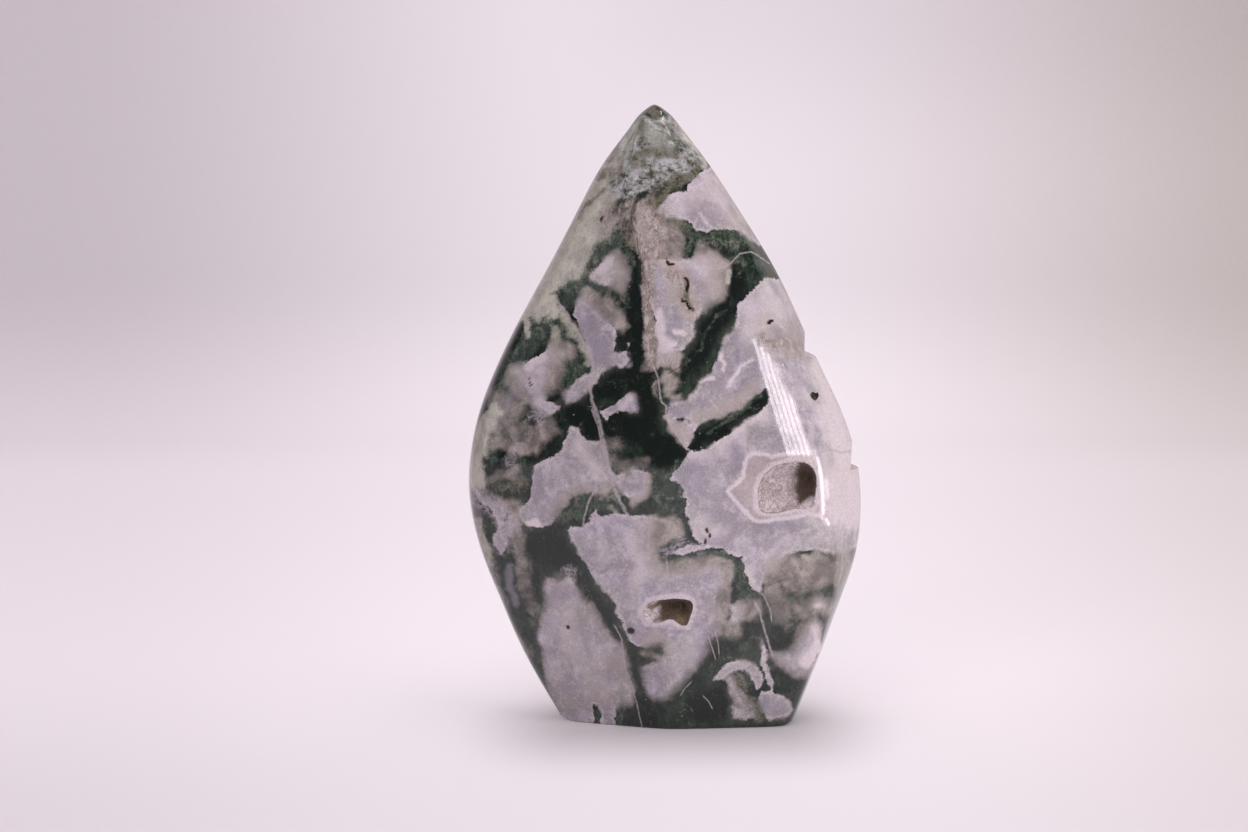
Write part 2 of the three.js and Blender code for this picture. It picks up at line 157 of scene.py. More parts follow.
# White and lavender agate: outlines of the pale patches
PALE_PATCHES = {
    "under_tip": [
        (9, 94), (7.4, 90.1), (5.2, 89.2), (4, 87.4), (3.4, 86.2), (1.6, 85.9), (0.6, 85.4), (-0.6, 84),
        (-2, 83), (-1, 82.3), (0.5, 82), (2.5, 81.8), (4, 81), (5, 79.7), (6.5, 79.6), (8.5, 80),
        (10, 79.9), (12, 79.6), (13.5, 78.5), (15, 77.5), (22, 74), (22, 94),
    ],
    "centre_top": [
        (-3.6, 75.2), (0.3, 75.2), (3, 75), (5.5, 75.7), (7, 76.2), (8.2, 76), (8.8, 75), (9.8, 74.6),
        (9.6, 73.4), (9, 72.3), (9.4, 70.5), (8.7, 69), (7.3, 68.3), (6.2, 66.9), (5, 65.8), (4.7, 65),
        (4.6, 63.8), (4.9, 63), (4.3, 62.3), (3.6, 61.3), (2.8, 60.5), (1.8, 59.9), (1.2, 59), (0.2, 58.5),
        (-0.8, 58), (-1.6, 57.5), (-1.6, 59), (-1.5, 60.5), (-1.8, 62.5), (-1.8, 64), (-1.5, 65.5),
        (-2.6, 68),
    ],
    "arch_lobe": [
        (-8.7, 75.8), (-8, 75.9), (-7.2, 74.5), (-6.4, 73), (-6.6, 71), (-7.3, 70.2), (-8.3, 71.2),
        (-9.4, 70.7), (-10.6, 71.1), (-12, 71.9), (-12.1, 72.6), (-10.8, 74), (-10, 74.9), (-9.5, 75.6),
    ],
    "upper_left": [
        (-14.2, 68.3), (-13.3, 68.6), (-12.2, 68.1), (-11, 66.8), (-9.5, 65.3), (-8.3, 64.2), (-7.4, 65),
        (-6.9, 64.2), (-8, 63.9), (-8.1, 62), (-8.2, 60.2), (-7, 60), (-6.2, 60.4), (-5.9, 61.5),
        (-6.2, 60), (-5.9, 58.6), (-6.4, 57.9), (-7, 57.4), (-8, 58), (-9.4, 57.4), (-10.3, 56.6),
        (-11.1, 55), (-11.8, 54.9), (-12.3, 54), (-13.4, 53.4), (-14.6, 52), (-16, 52), (-16.3, 53.3),
        (-15.3, 54.5), (-14.5, 55.5), (-13, 56.3), (-11.9, 56.8), (-12, 58.5), (-12.6, 60.5), (-13, 62.2),
        (-13.6, 63.8), (-14.6, 65.6), (-14.9, 66.8),
    ],
    "left_horn": [
        (-18.9, 61), (-18.2, 60.7), (-17.9, 60.2), (-16.3, 60), (-16.1, 59.5), (-17.3, 58.6),
        (-18.6, 57.8), (-19.1, 56.2), (-19.6, 54.5), (-19.9, 53), (-19.2, 52), (-18, 51.5), (-17, 51),
        (-18.3, 50), (-20, 50.2), (-21.3, 51.2), (-22.1, 52.5), (-22.6, 54), (-23.9, 55.5), (-24.7, 56.7),
        (-24.3, 57.4), (-22.3, 58.5), (-20.6, 59.4), (-19.4, 60.4),
    ],
    "small_wedge": [
        (-5.7, 53.4), (-4.8, 52.6), (-4.6, 50.4), (-6, 50.4), (-8, 50.3), (-9.3, 49.5), (-9.5, 48.5),
        (-9.9, 49.2), (-10.4, 50.3), (-8.8, 51.2), (-7.3, 52.2),
    ],
    "middle_left": [
        (-15.3, 48.3), (-14.6, 47.6), (-14.1, 47.8), (-13.5, 46.3), (-12.8, 45.7), (-12, 45.5),
        (-10.3, 45.7), (-9.7, 44.5), (-9.3, 42.5), (-8.9, 41), (-8, 39.9), (-7, 40.3), (-5.5, 40.9),
        (-4, 40.8), (-2.7, 40), (-2.6, 38.5), (-3.1, 36.7), (-4.2, 35.8), (-5.5, 36), (-6.7, 36.7),
        (-7.9, 38), (-8.8, 38.6), (-9.8, 38.3), (-11.5, 38.6), (-12.5, 38.4), (-14, 37.8), (-15.6, 36.9),
        (-17, 35.6), (-18, 34), (-18.2, 32.3), (-19, 31.6), (-21, 31.3), (-22.5, 31.8), (-23.3, 32.2),
        (-24, 33.5), (-23.5, 34.8), (-22.5, 35.3), (-21.8, 36.5), (-21.6, 38.3), (-21.6, 40),
        (-21.2, 41.3), (-19.8, 42.2), (-18.2, 43), (-17, 43.8), (-16.6, 45), (-15.9, 46.5),
    ],
    "left_edge_streak": [
        (-31, 38), (-29.5, 36.3), (-28.5, 35.7), (-27, 35.5), (-26.2, 35), (-26, 34), (-26.3, 32.2),
        (-25.3, 32.5), (-24.3, 33.6), (-23.8, 33), (-23.4, 31.8), (-24, 31), (-25, 30.3), (-25.7, 29.5),
        (-26.2, 27.5), (-26.8, 26.8), (-27.3, 27.7), (-28, 28.5), (-28, 30), (-27.2, 31.3), (-27.5, 32.6),
        (-28, 34), (-29.2, 35), (-30.6, 35.9),
    ],
    "centre_low": [
        (-15.7, 31.4), (-14.5, 31.3), (-13.3, 31.6), (-12.2, 32.2), (-11.9, 33.6), (-11.3, 34.1),
        (-10.7, 33.2), (-9.5, 33.2), (-8.3, 33.7), (-6.7, 33.4), (-5, 33), (-3.2, 33.2), (-1.8, 33.2),
        (-1.9, 32), (-2.1, 30), (-2.4, 28), (-2, 27.2), (-2.1, 26.3), (-1.5, 25.2), (-0.9, 24.5),
        (0.8, 23.9), (3, 23.7), (6, 24.6), (8.5, 25.4), (9.5, 24), (9.9, 22.5), (8.7, 21), (8.4, 19.5),
        (8.9, 17), (8.7, 15), (8.3, 13.9), (7.2, 13.2), (6.8, 12), (6.2, 10.2), (5, 8.5), (3.5, 7),
        (2.5, 5.6), (1, 4.4), (0, 3.2), (-1.8, 3.1), (-2.8, 4), (-3, 5.3), (-3.3, 6.5), (-3.4, 8),
        (-2.4, 8.5), (-1.2, 8.9), (-0.3, 9.8), (0.5, 10), (0.4, 10.6), (0.1, 12.6), (-0.8, 13.1),
        (-1.8, 12.3), (-3, 11.5), (-4.5, 11.5), (-5.6, 12.3), (-6.3, 13.5), (-6.6, 14.5), (-7, 15.8),
        (-8, 17), (-8, 18.3), (-9, 20), (-10.2, 21), (-11.2, 22.3), (-12, 23.5), (-12.8, 25),
        (-13.8, 26.5), (-14.5, 28), (-15.2, 29.5), (-15.9, 30.8),
    ],
    "low_left": [
        (-19.4, 23), (-18.5, 22.5), (-17.5, 22.2), (-16.6, 22.6), (-15.5, 23), (-14.9, 22), (-14.5, 20.8),
        (-13.9, 19.3), (-13, 18.5), (-11.9, 17.5), (-11, 16), (-10, 14.3), (-9.2, 12.9), (-8.5, 12.4),
        (-7.2, 12), (-6.7, 10.5), (-6.4, 8), (-6.2, 6), (-5.3, 5), (-5.2, 3), (-5.5, 2), (-6.5, 2.4),
        (-7, 2.6), (-8, 1), (-8.3, -4), (-10.2, -4), (-10.4, 0), (-11, 1.7), (-11.8, 2), (-11.5, -4),
        (-19.5, -4), (-17, 0), (-17.8, 2), (-19, 4.5), (-19.7, 8), (-19.9, 11), (-20.8, 13.2),
        (-20.3, 14.8), (-20.2, 16), (-19.3, 17.5), (-19.2, 19), (-19.6, 21),
    ],
    "whole_right": [
        (18.5, 71.9), (16, 72.2), (15.3, 71.3), (14.3, 70.2), (13.2, 69.3), (12.3, 68.2), (11.7, 67.6),
        (11.5, 66), (11.5, 64.6), (11, 63.6), (10, 62.9), (9.4, 62), (9.3, 61), (8.7, 60), (8.3, 58.5),
        (7.7, 57.5), (7.4, 56.5), (6.6, 56), (5.7, 55.3), (5.2, 54.2), (4.6, 53.4), (3.7, 52.3),
        (2.4, 51.8), (1, 51.9), (0.3, 51), (0.2, 50), (0, 49.5), (0.4, 48.6), (1, 47.8), (1.8, 46.7),
        (2.6, 45.5), (3.5, 44.2), (4.2, 44), (3.6, 42.8), (2.3, 41.2), (1.2, 40), (0.7, 39.2), (1.5, 38.8),
        (2.5, 38.5), (3, 37.5), (2.9, 36.5), (3.5, 36), (3.6, 34.8), (3.3, 33.6), (4, 32.6), (4.1, 31.5),
        (4.5, 30), (5.1, 29), (6, 28.6), (4, 28.4), (2, 27.5), (0.8, 27), (2.3, 26.9), (4.5, 27.2),
        (6.5, 27.8), (8, 28), (9.5, 27.7), (10.5, 27), (11.7, 26.5), (12.7, 26.5), (13, 25), (13.3, 23.5),
        (13.8, 22), (14.8, 20.9), (15.6, 20.4), (15.9, 22), (16.8, 23.6), (18, 24.6), (19, 25.8),
        (20, 26.9), (22, 27.4), (24.3, 27.6), (26, 27.2), (28, 27), (29.5, 27.2), (31, 28), (40, 30),
        (40, 72),
    ],
    "speck_leaf": [
        (10.9, 18.4), (12, 18.9), (12.9, 17.9), (12.5, 16.4), (11.8, 15.3), (10.8, 15.6), (11, 17),
    ],
    "thin_leaf": [
        (15.8, 12.6), (16.4, 11.6), (16.8, 10), (16.6, 8.8), (17.2, 7.2), (17.9, 5.4), (17.8, 3.8),
        (17, 5.3), (16.3, 7), (15.8, 8.5), (16, 10.2), (15.9, 11.6),
    ],
    "low_arch": [
        (8.1, 6), (8.8, 7.2), (10, 8.5), (11.8, 9.3), (13.4, 9.1), (14.9, 8.4), (16, 7), (16.2, 5.8),
        (15.7, 4.6), (15.2, 4), (14.7, 5.4), (14.1, 6.8), (13.2, 7.7), (12, 7.7), (10.9, 7.1), (10, 6.3),
        (9.2, 5.9),
    ],
    "arch_foot": [
        (10.2, 6.9), (11, 6.4), (11.9, 4.9), (13, 3.4), (13.9, 2), (14.9, 0.4), (15.2, -0.6), (13.8, -0.4),
        (12.9, 0.8), (12, 2.2), (11.2, 3.2), (10.5, 4.6),
    ],
    "low_right_foot": [
        (15.9, 4.4), (16.6, 3.9), (17.4, 4), (19, 3.5), (20.4, 2.5), (21.2, 1), (20.4, 0), (19, -0.5),
        (17.2, -0.9), (16.4, 0.2), (15.8, 1.6), (15.5, 3),
    ],
    "foot_drop": [(11.2, 1.5), (13, 1.1), (14.6, -0.2), (13.4, -0.7), (11.4, -0.3)],
    "right_hook": [
        (22.8, 13.5), (23.8, 14.9), (24.7, 15.6), (25.6, 14.7), (25.5, 13), (25.6, 11), (24.8, 10),
        (24.3, 8.4), (23.4, 6.8), (21.6, 7), (19.8, 8.2), (18.2, 9.4), (17.7, 10.3), (19.3, 10.2),
        (21, 10.8), (22, 11.8),
    ],
    "right_drop": [(24.2, 18.2), (24.9, 19.1), (25.6, 18.8), (25.5, 18.1), (24.7, 17.9)],
}

# Dark moss that lies across the pale patches
DARK_SHAPES = {
    "leaf": [
        (3.4, 44.2), (4.3, 46), (5.4, 48.2), (7.5, 49.2), (9.8, 49.8), (11.5, 51), (13, 52), (14.3, 53),
        (15.2, 53.7), (16.3, 54.2), (16.9, 53.2), (16.7, 51.7), (15.5, 50.4), (14.3, 49.5), (12.9, 48.8),
        (12.1, 47.9), (10.6, 46.8), (9.3, 45.9), (7.9, 45.1), (6.7, 44.2), (5.4, 43.8),
    ],
    "small_arch": [
        (1.5, 48.2), (1.9, 49.2), (2.8, 49.6), (3.8, 49.2), (4.2, 48.2), (3.4, 48.8), (2.4, 48.7),
    ],
    "leaf_loop": [(7.3, 13.2), (8.4, 13.7), (8.7, 12.2), (8.2, 10.6), (7.8, 11.8)],
}

# The agate bands round the larger hollow: the outline of their outer line
RINGS = {
    "upper": [
        (25.6, 33.2), (23, 33.5), (20, 32.8), (17.5, 32.5), (15.8, 32.2), (14.5, 32.5), (13, 34),
        (11.5, 35.6), (10.2, 37.2), (10.9, 38), (12, 38.8), (12.8, 39.8), (12.9, 41.2), (13.3, 42.7),
        (14.3, 43.6), (15.8, 43.4), (17.5, 43), (21, 43.6), (24.2, 43.8), (25.2, 41), (25.6, 37),
    ],
}

# Soft strokes of one colour each: strength, half width in mm, and the points of a line
STROKES = {
    "smoke": [
        (1, 2.1, [(1.2, 78.6), (1.8, 77)]),
        (0.9, 1.3, [(5.8, 76.2), (8.2, 75.4), (9, 73.8), (8.2, 71.4), (7.6, 69.6)]),
        (0.8, 1.2, [(-7.2, 75), (-7, 72.6), (-7.5, 71)]),
        (0.9, 1.3, [(-12.4, 68.9), (-10.4, 67.6), (-8.6, 66.2), (-7.7, 65.2)]),
        (0.8, 1.2, [(-17.8, 61), (-15.8, 60.6)]), (0.9, 1.3, [(-17.6, 58.2), (-18.3, 56), (-18.8, 54.4)]),
        (0.7, 1.3, [(-24.9, 56), (-24.2, 54.4), (-23.2, 52.8)]),
        (0.65, 1.8, [(-27.8, 52.8), (-26.2, 51.2), (-23.6, 50.6)]),
        (0.65, 1.6, [(-27.4, 48.6), (-24, 47), (-22, 47.2)]),
        (0.9, 1.3, [(-26.8, 45), (-24.6, 44), (-22.2, 44.4), (-20.8, 46), (-18.6, 48.2)]),
        (0.6, 0.8, [(-29.2, 38.6), (-27.6, 39.5), (-25, 39.6), (-24, 40.4)]),
        (0.6, 0.7, [(-29.6, 37.4), (-28.8, 35.9), (-26.4, 35.4)]), (0.8, 1, [(-25.2, 34.6), (-25, 32.8)]),
        (0.9, 0.8, [(-10.2, 38.2), (-13, 37.7), (-15.8, 36.3), (-17.4, 34.9), (-18.6, 33.2)]),
        (0.8, 1, [(-2.9, 39.4), (-3.2, 36.9), (-5.4, 35.8)]), (0.5, 1.3, [(-8.8, 44.6), (-7.6, 45)]),
        (0.5, 0.9, [(-8.6, 42.6), (-6, 41.8), (-3.4, 42.2)]),
        (1, 1.6, [(-1.2, 32.2), (0.6, 32.4), (1.4, 31.4), (-0.6, 30.8)]),
        (0.8, 1, [(-1.5, 29.4), (-1.9, 27.2), (-1.2, 24.4)]),
        (1, 0.9, [(-0.4, 24.6), (3, 24.9), (6, 25.6), (8.6, 26), (10.2, 25)]),
        (1, 1.3, [(10.1, 23.6), (9.7, 21), (9.8, 18.6), (9.4, 16.6)]),
        (0.7, 1.6, [(9.7, 14.8), (11.2, 14.2)]), (0.8, 1.5, [(13.4, 17.6), (14.8, 17.4), (15.4, 18.6)]),
        (0.9, 1, [(0.2, 58.3), (1.6, 59), (1.6, 57.6)]),
        (0.9, 1.1, [(0.1, 56.2), (1.3, 55.2), (0.9, 54.2)]), (0.7, 0.6, [(0.8, 53), (2.2, 52.6)]),
        (0.9, 0.9, [(14.8, 54), (12, 52), (9.5, 50.9), (7, 50.4), (4.9, 49.4)]),
        (0.9, 0.9, [(2.1, 47.6), (3, 46.9), (3.4, 45.8)]),
        (1, 2.7, [(20.6, 23.6), (23.6, 24.4), (26.2, 24), (27.8, 23.4)]),
        (0.7, 1.8, [(18.6, 22.4), (18.8, 19.2), (19.4, 17)]), (0.7, 1.8, [(22.4, 18.2), (25.4, 18.4)]),
        (0.4, 1.2, [(-22.6, 24.6), (-22.2, 21.4), (-21.6, 18.4)]),
        (0.6, 1.2, [(-24.6, 30), (-23.8, 26), (-22.8, 22)]),
        (0.5, 0.9, [(-12, 17.6), (-10.2, 14.8), (-8.6, 12.8)]),
        (0.9, 0.9, [(-2.2, 12), (-1, 12.4), (-0.2, 11.2)]), (0.7, 0.8, [(-3, 10.2), (-1.8, 9.6)]),
        (0.5, 1, [(-18.2, 22.6), (-17.2, 22.8)]), (0.4, 1.4, [(-17.8, 8), (-18.4, 6.4)]),
        (0.6, 0.8, [(-3.4, 58), (-2, 62)]), (0.4, 1, [(5.8, 72.6), (7, 70.4)]),
        (0.5, 0.9, [(22, 14.6), (21.8, 13)]), (0.5, 1.2, [(-20.4, 56), (-20.2, 53.8)]),
        (0.8, 0.9, [(0.4, 71.6), (1.2, 70.2), (0.5, 68.9)]),
        (0.7, 1.4, [(-30.2, 27.6), (-28.6, 22), (-26.2, 16), (-23.2, 9.6)]),
    ],
    "sage": [
        (0.6, 2.4, [(-5, 96.5), (-7.4, 91.4), (-9, 88.4)]),
        (1, 3.4, [(-9, 88), (-11, 84.4), (-13.4, 79.6), (-16.4, 74.4)]),
        (1, 2.6, [(-16.4, 74.4), (-19.4, 70.4), (-21, 67.6)]),
        (1, 2.4, [(-11.6, 80.8), (-14.4, 76.4), (-15.4, 73)]), (0.8, 0.8, [(-17.9, 68.4), (-17.9, 66)]),
        (0.9, 0.55, [(-22.4, 66), (-22.3, 63.6), (-22.5, 62.2)]),
        (0.6, 0.8, [(-16.8, 66.4), (-14.8, 63.6), (-13.3, 61), (-12.5, 58.8)]),
        (0.9, 1, [(-28, 50.4), (-29.2, 48.4), (-29.8, 45.4), (-30.6, 42), (-30.6, 38.4)]),
        (0.6, 0.8, [(-30.8, 33), (-30, 29.4), (-29, 26)]),
        (0.4, 0.8, [(-10.6, 37.2), (-9.4, 37.7), (-8.4, 36.9)]), (0.5, 0.6, [(-9.2, 35.1), (-8.3, 34.5)]),
        (0.8, 0.5, [(10.3, 73.2), (10, 71.2)]), (0.7, 0.3, [(11.3, 66.4), (11.1, 64.4)]),
        (0.9, 1, [(1.6, 96.6), (3.4, 93.8), (6.2, 90.6)]), (0.5, 0.7, [(-7, 9), (-6.4, 4.4)]),
        (0.5, 0.5, [(-9, 14), (-7.6, 12.4)]), (0.5, 0.8, [(-18, 63.4), (-17.6, 62)]),
        (0.8, 1.3, [(-16.4, 73), (-17.8, 70.4)]), (0.5, 0.7, [(23, 26.2), (25, 26.4)]),
        (0.25, 0.9, [(6.4, 77.2), (9, 77.8), (12.4, 77)]),
        (0.3, 0.6, [(12.4, 7.4), (13.6, 5.2), (14.8, 2.6), (15.6, -0.6)]),
    ],
    "moss": [
        (0.7, 1, [(-16.8, 69.6), (-14.8, 71.6), (-13.2, 73.4), (-12.6, 76), (-11.8, 78.4)]),
        (0.7, 1, [(-11.8, 78.4), (-9.8, 79), (-7.6, 78), (-6.2, 76.2), (-5.2, 73.6)]),
        (0.5, 1.2, [(-15.4, 69.2), (-13.4, 70.4), (-11.6, 70.2)]),
        (0.5, 1.8, [(-9.6, 69.6), (-7.6, 68.4)]), (1, 1.4, [(-17.6, 65), (-16.6, 63), (-17.4, 61.8)]),
        (1, 1.6, [(-14.4, 61), (-13.6, 59.4), (-14.8, 57.6), (-16.2, 56)]),
        (0.45, 2.4, [(-24.6, 61.4), (-22.2, 60.6), (-20, 63.6), (-19.2, 65.4)]),
        (0.8, 0.7, [(-26.4, 56.2), (-25.7, 55.2), (-27.2, 54.4), (-26, 53)]),
        (0.8, 0.5, [(-25, 47.9), (-22.4, 48.4), (-19.9, 49.1), (-18.4, 49.9)]),
        (0.8, 0.6, [(-28.2, 46.2), (-28.2, 44.8)]), (0.7, 0.7, [(-27.6, 50.6), (-26, 49), (-26.6, 47.2)]),
        (0.7, 0.6, [(-21.4, 55.4), (-20.6, 53.4), (-19.4, 54.6)]),
        (0.8, 0.6, [(-28.4, 42), (-27.6, 41.7)]), (0.5, 1.1, [(-28.4, 37.4), (-26.6, 37.3), (-24, 37.6)]),
        (0.7, 1.2, [(-24.8, 42.2), (-23, 41.6)]),
        (1, 1.1, [(-17.2, 32.4), (-15.8, 33.1), (-14.4, 34.5), (-12.6, 35.7), (-10.4, 36), (-8, 35.6)]),
        (1, 0.9, [(-1.4, 28.6), (0.4, 28.8), (1.8, 29.4), (2.4, 28.2)]),
        (0.9, 0.7, [(-1.2, 25.4), (0.4, 25.8), (3, 26.3), (6, 26.7), (9, 27.2), (10.6, 26.2)]),
        (0.7, 1, [(12.2, 25.4), (12, 22.6), (12.8, 20.2), (14.8, 19.4)]),
        (0.5, 0.3, [(3, 57.6), (5.6, 60.8), (7.6, 64.4), (10, 68.6)]),
        (0.8, 1.1, [(5, 77.6), (8, 78.6), (11, 78.6), (14.2, 77.6)]),
        (0.9, 0.8, [(-0.6, 81), (2, 81), (4.4, 79.6), (4.6, 77.4), (3.6, 75.6)]),
        (0.5, 1.6, [(12.4, 74.4), (15, 74.6), (17, 73)]),
        (0.8, 0.45, [(7, 46.8), (11, 49.2), (12.6, 50.6), (14, 52), (15.6, 52.8)]),
        (1.3, 0.5, [(20.3, 18.6), (21.4, 20.2), (23, 21.2), (25.4, 21.9)]),
        (1.3, 0.5, [(23, 20.8), (25.2, 20.8), (26.8, 19.8), (27.6, 18.4)]),
        (0.9, 0.6, [(25, 26.2), (27, 25.9), (28.6, 25.8), (30.4, 27)]),
        (0.8, 0.6, [(-11.4, 1.4), (-10.9, -1)]), (0.9, 0.7, [(-7.1, 1.8), (-7.8, -1)]),
        (0.4, 1.6, [(2.4, 38), (1, 35), (2.2, 32.6)]), (0.5, 1.2, [(-1.4, 40.6), (-2, 38), (-1, 35.6)]),
        (0.6, 0.6, [(2.4, 41.2), (1, 40), (-0.6, 39.6)]), (0.4, 1.5, [(8, 8), (11, 11), (14.6, 13.4)]),
        (0.6, 0.7, [(-21, 19.8), (-20.9, 17), (-21.4, 15)]),
    ],
    "night": [
        (0.8, 1.2, [(-28, 37.4), (-25.6, 37.2), (-23.4, 37.4)]),
        (0.6, 0.9, [(-16.8, 32.6), (-15, 34), (-12.8, 35.6), (-10, 35.8)]),
        (0.9, 2.4, [(5, 1.8), (8.4, 2.4)]), (0.9, 2, [(-12, 18.6), (-9.6, 16)]),
        (0.8, 3, [(-20.4, 28.2), (-17.4, 27)]),
        (1, 2.6, [(-4.8, 77), (-5, 71), (-4.6, 65), (-4.6, 58), (-4, 52), (-3.6, 47)]),
        (1, 2.4, [(-9.6, 54.8), (-7, 55.8), (-5, 56)]),
        (1, 2.4, [(-7.8, 47.4), (-4.8, 48.4), (-2.4, 45.6), (-0.4, 43.2), (1.2, 44)]),
        (1, 1.6, [(-6.4, 62.4), (-7, 66.6)]), (0.8, 1.8, [(-13.6, 50.6), (-12.2, 48.2), (-11.6, 46.6)]),
        (0.75, 1.8, [(2.6, 56.4), (5.6, 60.6), (8.2, 64.6), (10.4, 68.4), (12, 72.2)]),
        (0.7, 1.1, [(-18, 46.6), (-19.8, 44.4), (-21.6, 42.4)]),
        (0.9, 1.6, [(4.6, 45.4), (7.6, 46.6), (10.4, 48.2), (14, 51.4), (16.4, 53)]),
        (0.5, 2.2, [(13.2, 14), (16, 11.6), (20, 12.8)]), (0.5, 2, [(4, 4), (8.6, 3), (2, 0)]),
        (0.8, 0.8, [(-18, 52.4), (-17, 54.6)]), (0.6, 0.5, [(-7, 85.2), (-5.5, 85.6), (-3.9, 85.4)]),
        (0.5, 0.5, [(-14.9, 65.8), (-14.4, 69.4), (-12.8, 70.2)]),
    ],
    "haze": [
        (0.7, 1.6, [(17, 1.6), (19.4, 1.2)]), (0.7, 1, [(-6.6, 51.2), (-8.4, 50.8)]),
        (0.6, 1.6, [(0.8, 65), (1.6, 63)]), (0.7, 2.2, [(9.6, 58.4), (8.4, 55.2)]),
        (0.7, 2.4, [(8, 41.4), (5, 38.2)]), (0.6, 2, [(10.4, 31.4), (7.6, 33.8)]),
        (0.7, 1.2, [(-17.4, 20.6), (-16.4, 20.2)]), (0.7, 1.6, [(-5.6, 38.4), (-4.4, 38)]),
        (0.6, 1.6, [(-10.6, 62.6), (-9.6, 60.4)]), (0.3, 1.6, [(3.4, 11.4), (2.4, 8.4)]),
        (0.8, 1.3, [(10.6, 45), (12, 43.2), (11.4, 41.4), (10.6, 39.6)]),
        (0.7, 1.2, [(5.4, 37), (8, 36.6), (10, 37), (12.4, 34.4)]),
        (0.8, 1.2, [(13.8, 31.4), (16.4, 31), (19.4, 31), (22.4, 30.8)]),
        (0.9, 1.5, [(-13.4, 64.8), (-12.2, 62.6), (-10.8, 61.4), (-11.6, 59.6)]),
        (0.7, 1.2, [(-20.8, 40), (-20.2, 37.6), (-21, 36)]), (0.4, 0.9, [(2.8, 63.6), (0.6, 63.6)]),
        (0.7, 0.5, [(11.4, 60.2), (11.2, 57.8), (10.2, 55.6)]),
        (0.7, 0.8, [(9.6, 60.6), (10.6, 61.6), (11.2, 63)]), (0.6, 1.2, [(13.8, 57), (15, 55.4)]),
        (0.5, 1.2, [(6, 52.4), (10, 52.8), (13, 54)]), (0.7, 0.9, [(0.8, 50.6), (2.2, 50.4), (3.4, 51)]),
        (0.7, 1.2, [(2.4, 40), (4.4, 40.8), (3.4, 39)]), (0.4, 1.6, [(-12, 26.6), (-9, 24), (-6.4, 20)]),
        (0.5, 1.3, [(-15, 30.4), (-13.8, 28.4), (-12.4, 25.4)]),
        (0.5, 1.5, [(-5.2, 14), (-2.6, 13.8), (0.6, 14), (1.2, 12.4)]),
        (0.25, 1.6, [(-16, 14.6), (-13, 12), (-16.4, 10.6)]),
        (0.2, 1.4, [(-2.2, 6.4), (-0.8, 5), (1.4, 7)]), (0.6, 1, [(-8.6, 59.4), (-9.8, 58.4)]),
        (0.35, 1, [(4.6, 82.8), (3.6, 83.6), (5.6, 81.6)]),
        (0.5, 1.4, [(-18.6, 18), (-18.2, 14), (-18.8, 10)]),
        (0.6, 1.1, [(-1.2, 73), (-0.8, 70.6), (-1.6, 68.8)]),
        (0.5, 1, [(4.4, 74.6), (5.6, 72.4), (6.2, 70)]), (0.6, 1.1, [(17.4, 64.2), (18.8, 63)]),
        (0.4, 0.7, [(15.2, 68.2), (15.6, 66.6)]), (0.5, 1.6, [(28.6, 36), (28.2, 31.6)]),
        (0.5, 1.2, [(14.6, 45.4), (17, 46.2)]), (0.5, 1.4, [(-26.2, 30.6), (-27, 28.6)]),
    ],
    # Whiter places of the agate; the first two strokes are painted light: a brighter right side and a painted
    # sheen beside the window's reflection
    "glow": [
        (1, 3.2, [(26, 57), (28.4, 48), (29.8, 40), (29.6, 34)]),
        (0.5, 1.8, [(16.4, 59.6), (19.6, 51.6), (23.4, 43), (24.8, 33)]),
        (0.6, 1.6, [(9.4, 45.4), (11.6, 47.6)]), (0.5, 1.6, [(9.4, 86.8), (12.4, 82.6)]),
        (0.4, 2.4, [(3, 84.4), (6.6, 86.6), (9.4, 84.4)]),
        (0.6, 0.25, [(5.9, 82.2), (6.9, 81), (8, 80.2)]),
        (0.4, 1.6, [(0.4, 74.6), (5.6, 75), (6.4, 73.4)]),
        (0.6, 1, [(-0.7, 66.2), (-1, 62.6), (0.4, 60.6)]), (0.9, 0.5, [(1.4, 63.1), (2.6, 62.8)]),
        (0.9, 0.45, [(0.6, 61.2), (1.4, 61.1)]),
        (0.9, 0.35, [(10.4, 54.3), (11.7, 56.3), (12.7, 57.8), (13.5, 58.6)]),
        (0.8, 0.4, [(8.8, 59.6), (9.4, 57.8), (9.2, 56.6)]), (0.9, 0.35, [(6.1, 55.2), (7.4, 55.4)]),
        (0.5, 2.6, [(14, 66.4), (16.6, 69.4), (18.8, 67.6), (13, 62.6)]),
        (0.7, 1.4, [(11.6, 48.6), (13.6, 49.2), (15.8, 49.6), (16, 51)]),
        (0.5, 1.6, [(5.6, 43.6), (7.6, 42.4), (9.6, 44.6)]),
        (0.5, 1.4, [(6, 32.4), (5.4, 30.4), (8.6, 30.4)]),
        (0.5, 1.2, [(-5.4, 30.4), (-4, 27.6), (-3.4, 24), (-4.6, 21.4)]),
        (0.5, 1.4, [(-14, 44), (-12, 42), (-10.6, 40.4)]), (1, 0.7, [(-22.2, 31.9), (-21, 31.8)]),
        (0.4, 0.5, [(-6.4, 39.4), (-4.8, 39)]), (0.7, 0.7, [(-19.6, 59.4), (-21.4, 58.2), (-22.4, 57)]),
        (0.6, 0.9, [(-10.6, 73), (-9.4, 74.2), (-9, 75)]), (0.6, 0.7, [(-5.6, 52.6), (-7, 51.2)]),
        (1, 1, [(22.6, 9.4), (24.4, 11.4), (25, 13.6), (24.7, 14.8)]),
        (1, 0.5, [(24.4, 18.4), (25.4, 18.6)]), (1, 0.3, [(20.5, 17.6), (20.7, 17.2)]),
        (1, 0.45, [(28.2, 22.5), (28.4, 22.3)]), (1, 0.35, [(0.9, 78.7), (2.2, 78.5)]),
        (0.8, 0.5, [(7, 28.2), (7.2, 28)]), (0.6, 0.9, [(-15.8, 24.2), (-15, 22.8)]),
        (0.4, 2.6, [(-16.4, 16), (-14, 10), (-11.6, 5)]), (0.3, 2, [(4.6, 12), (2, 8)]),
        (0.6, 0.8, [(13.6, 24), (15, 22)]),
    ],
    "rose": [
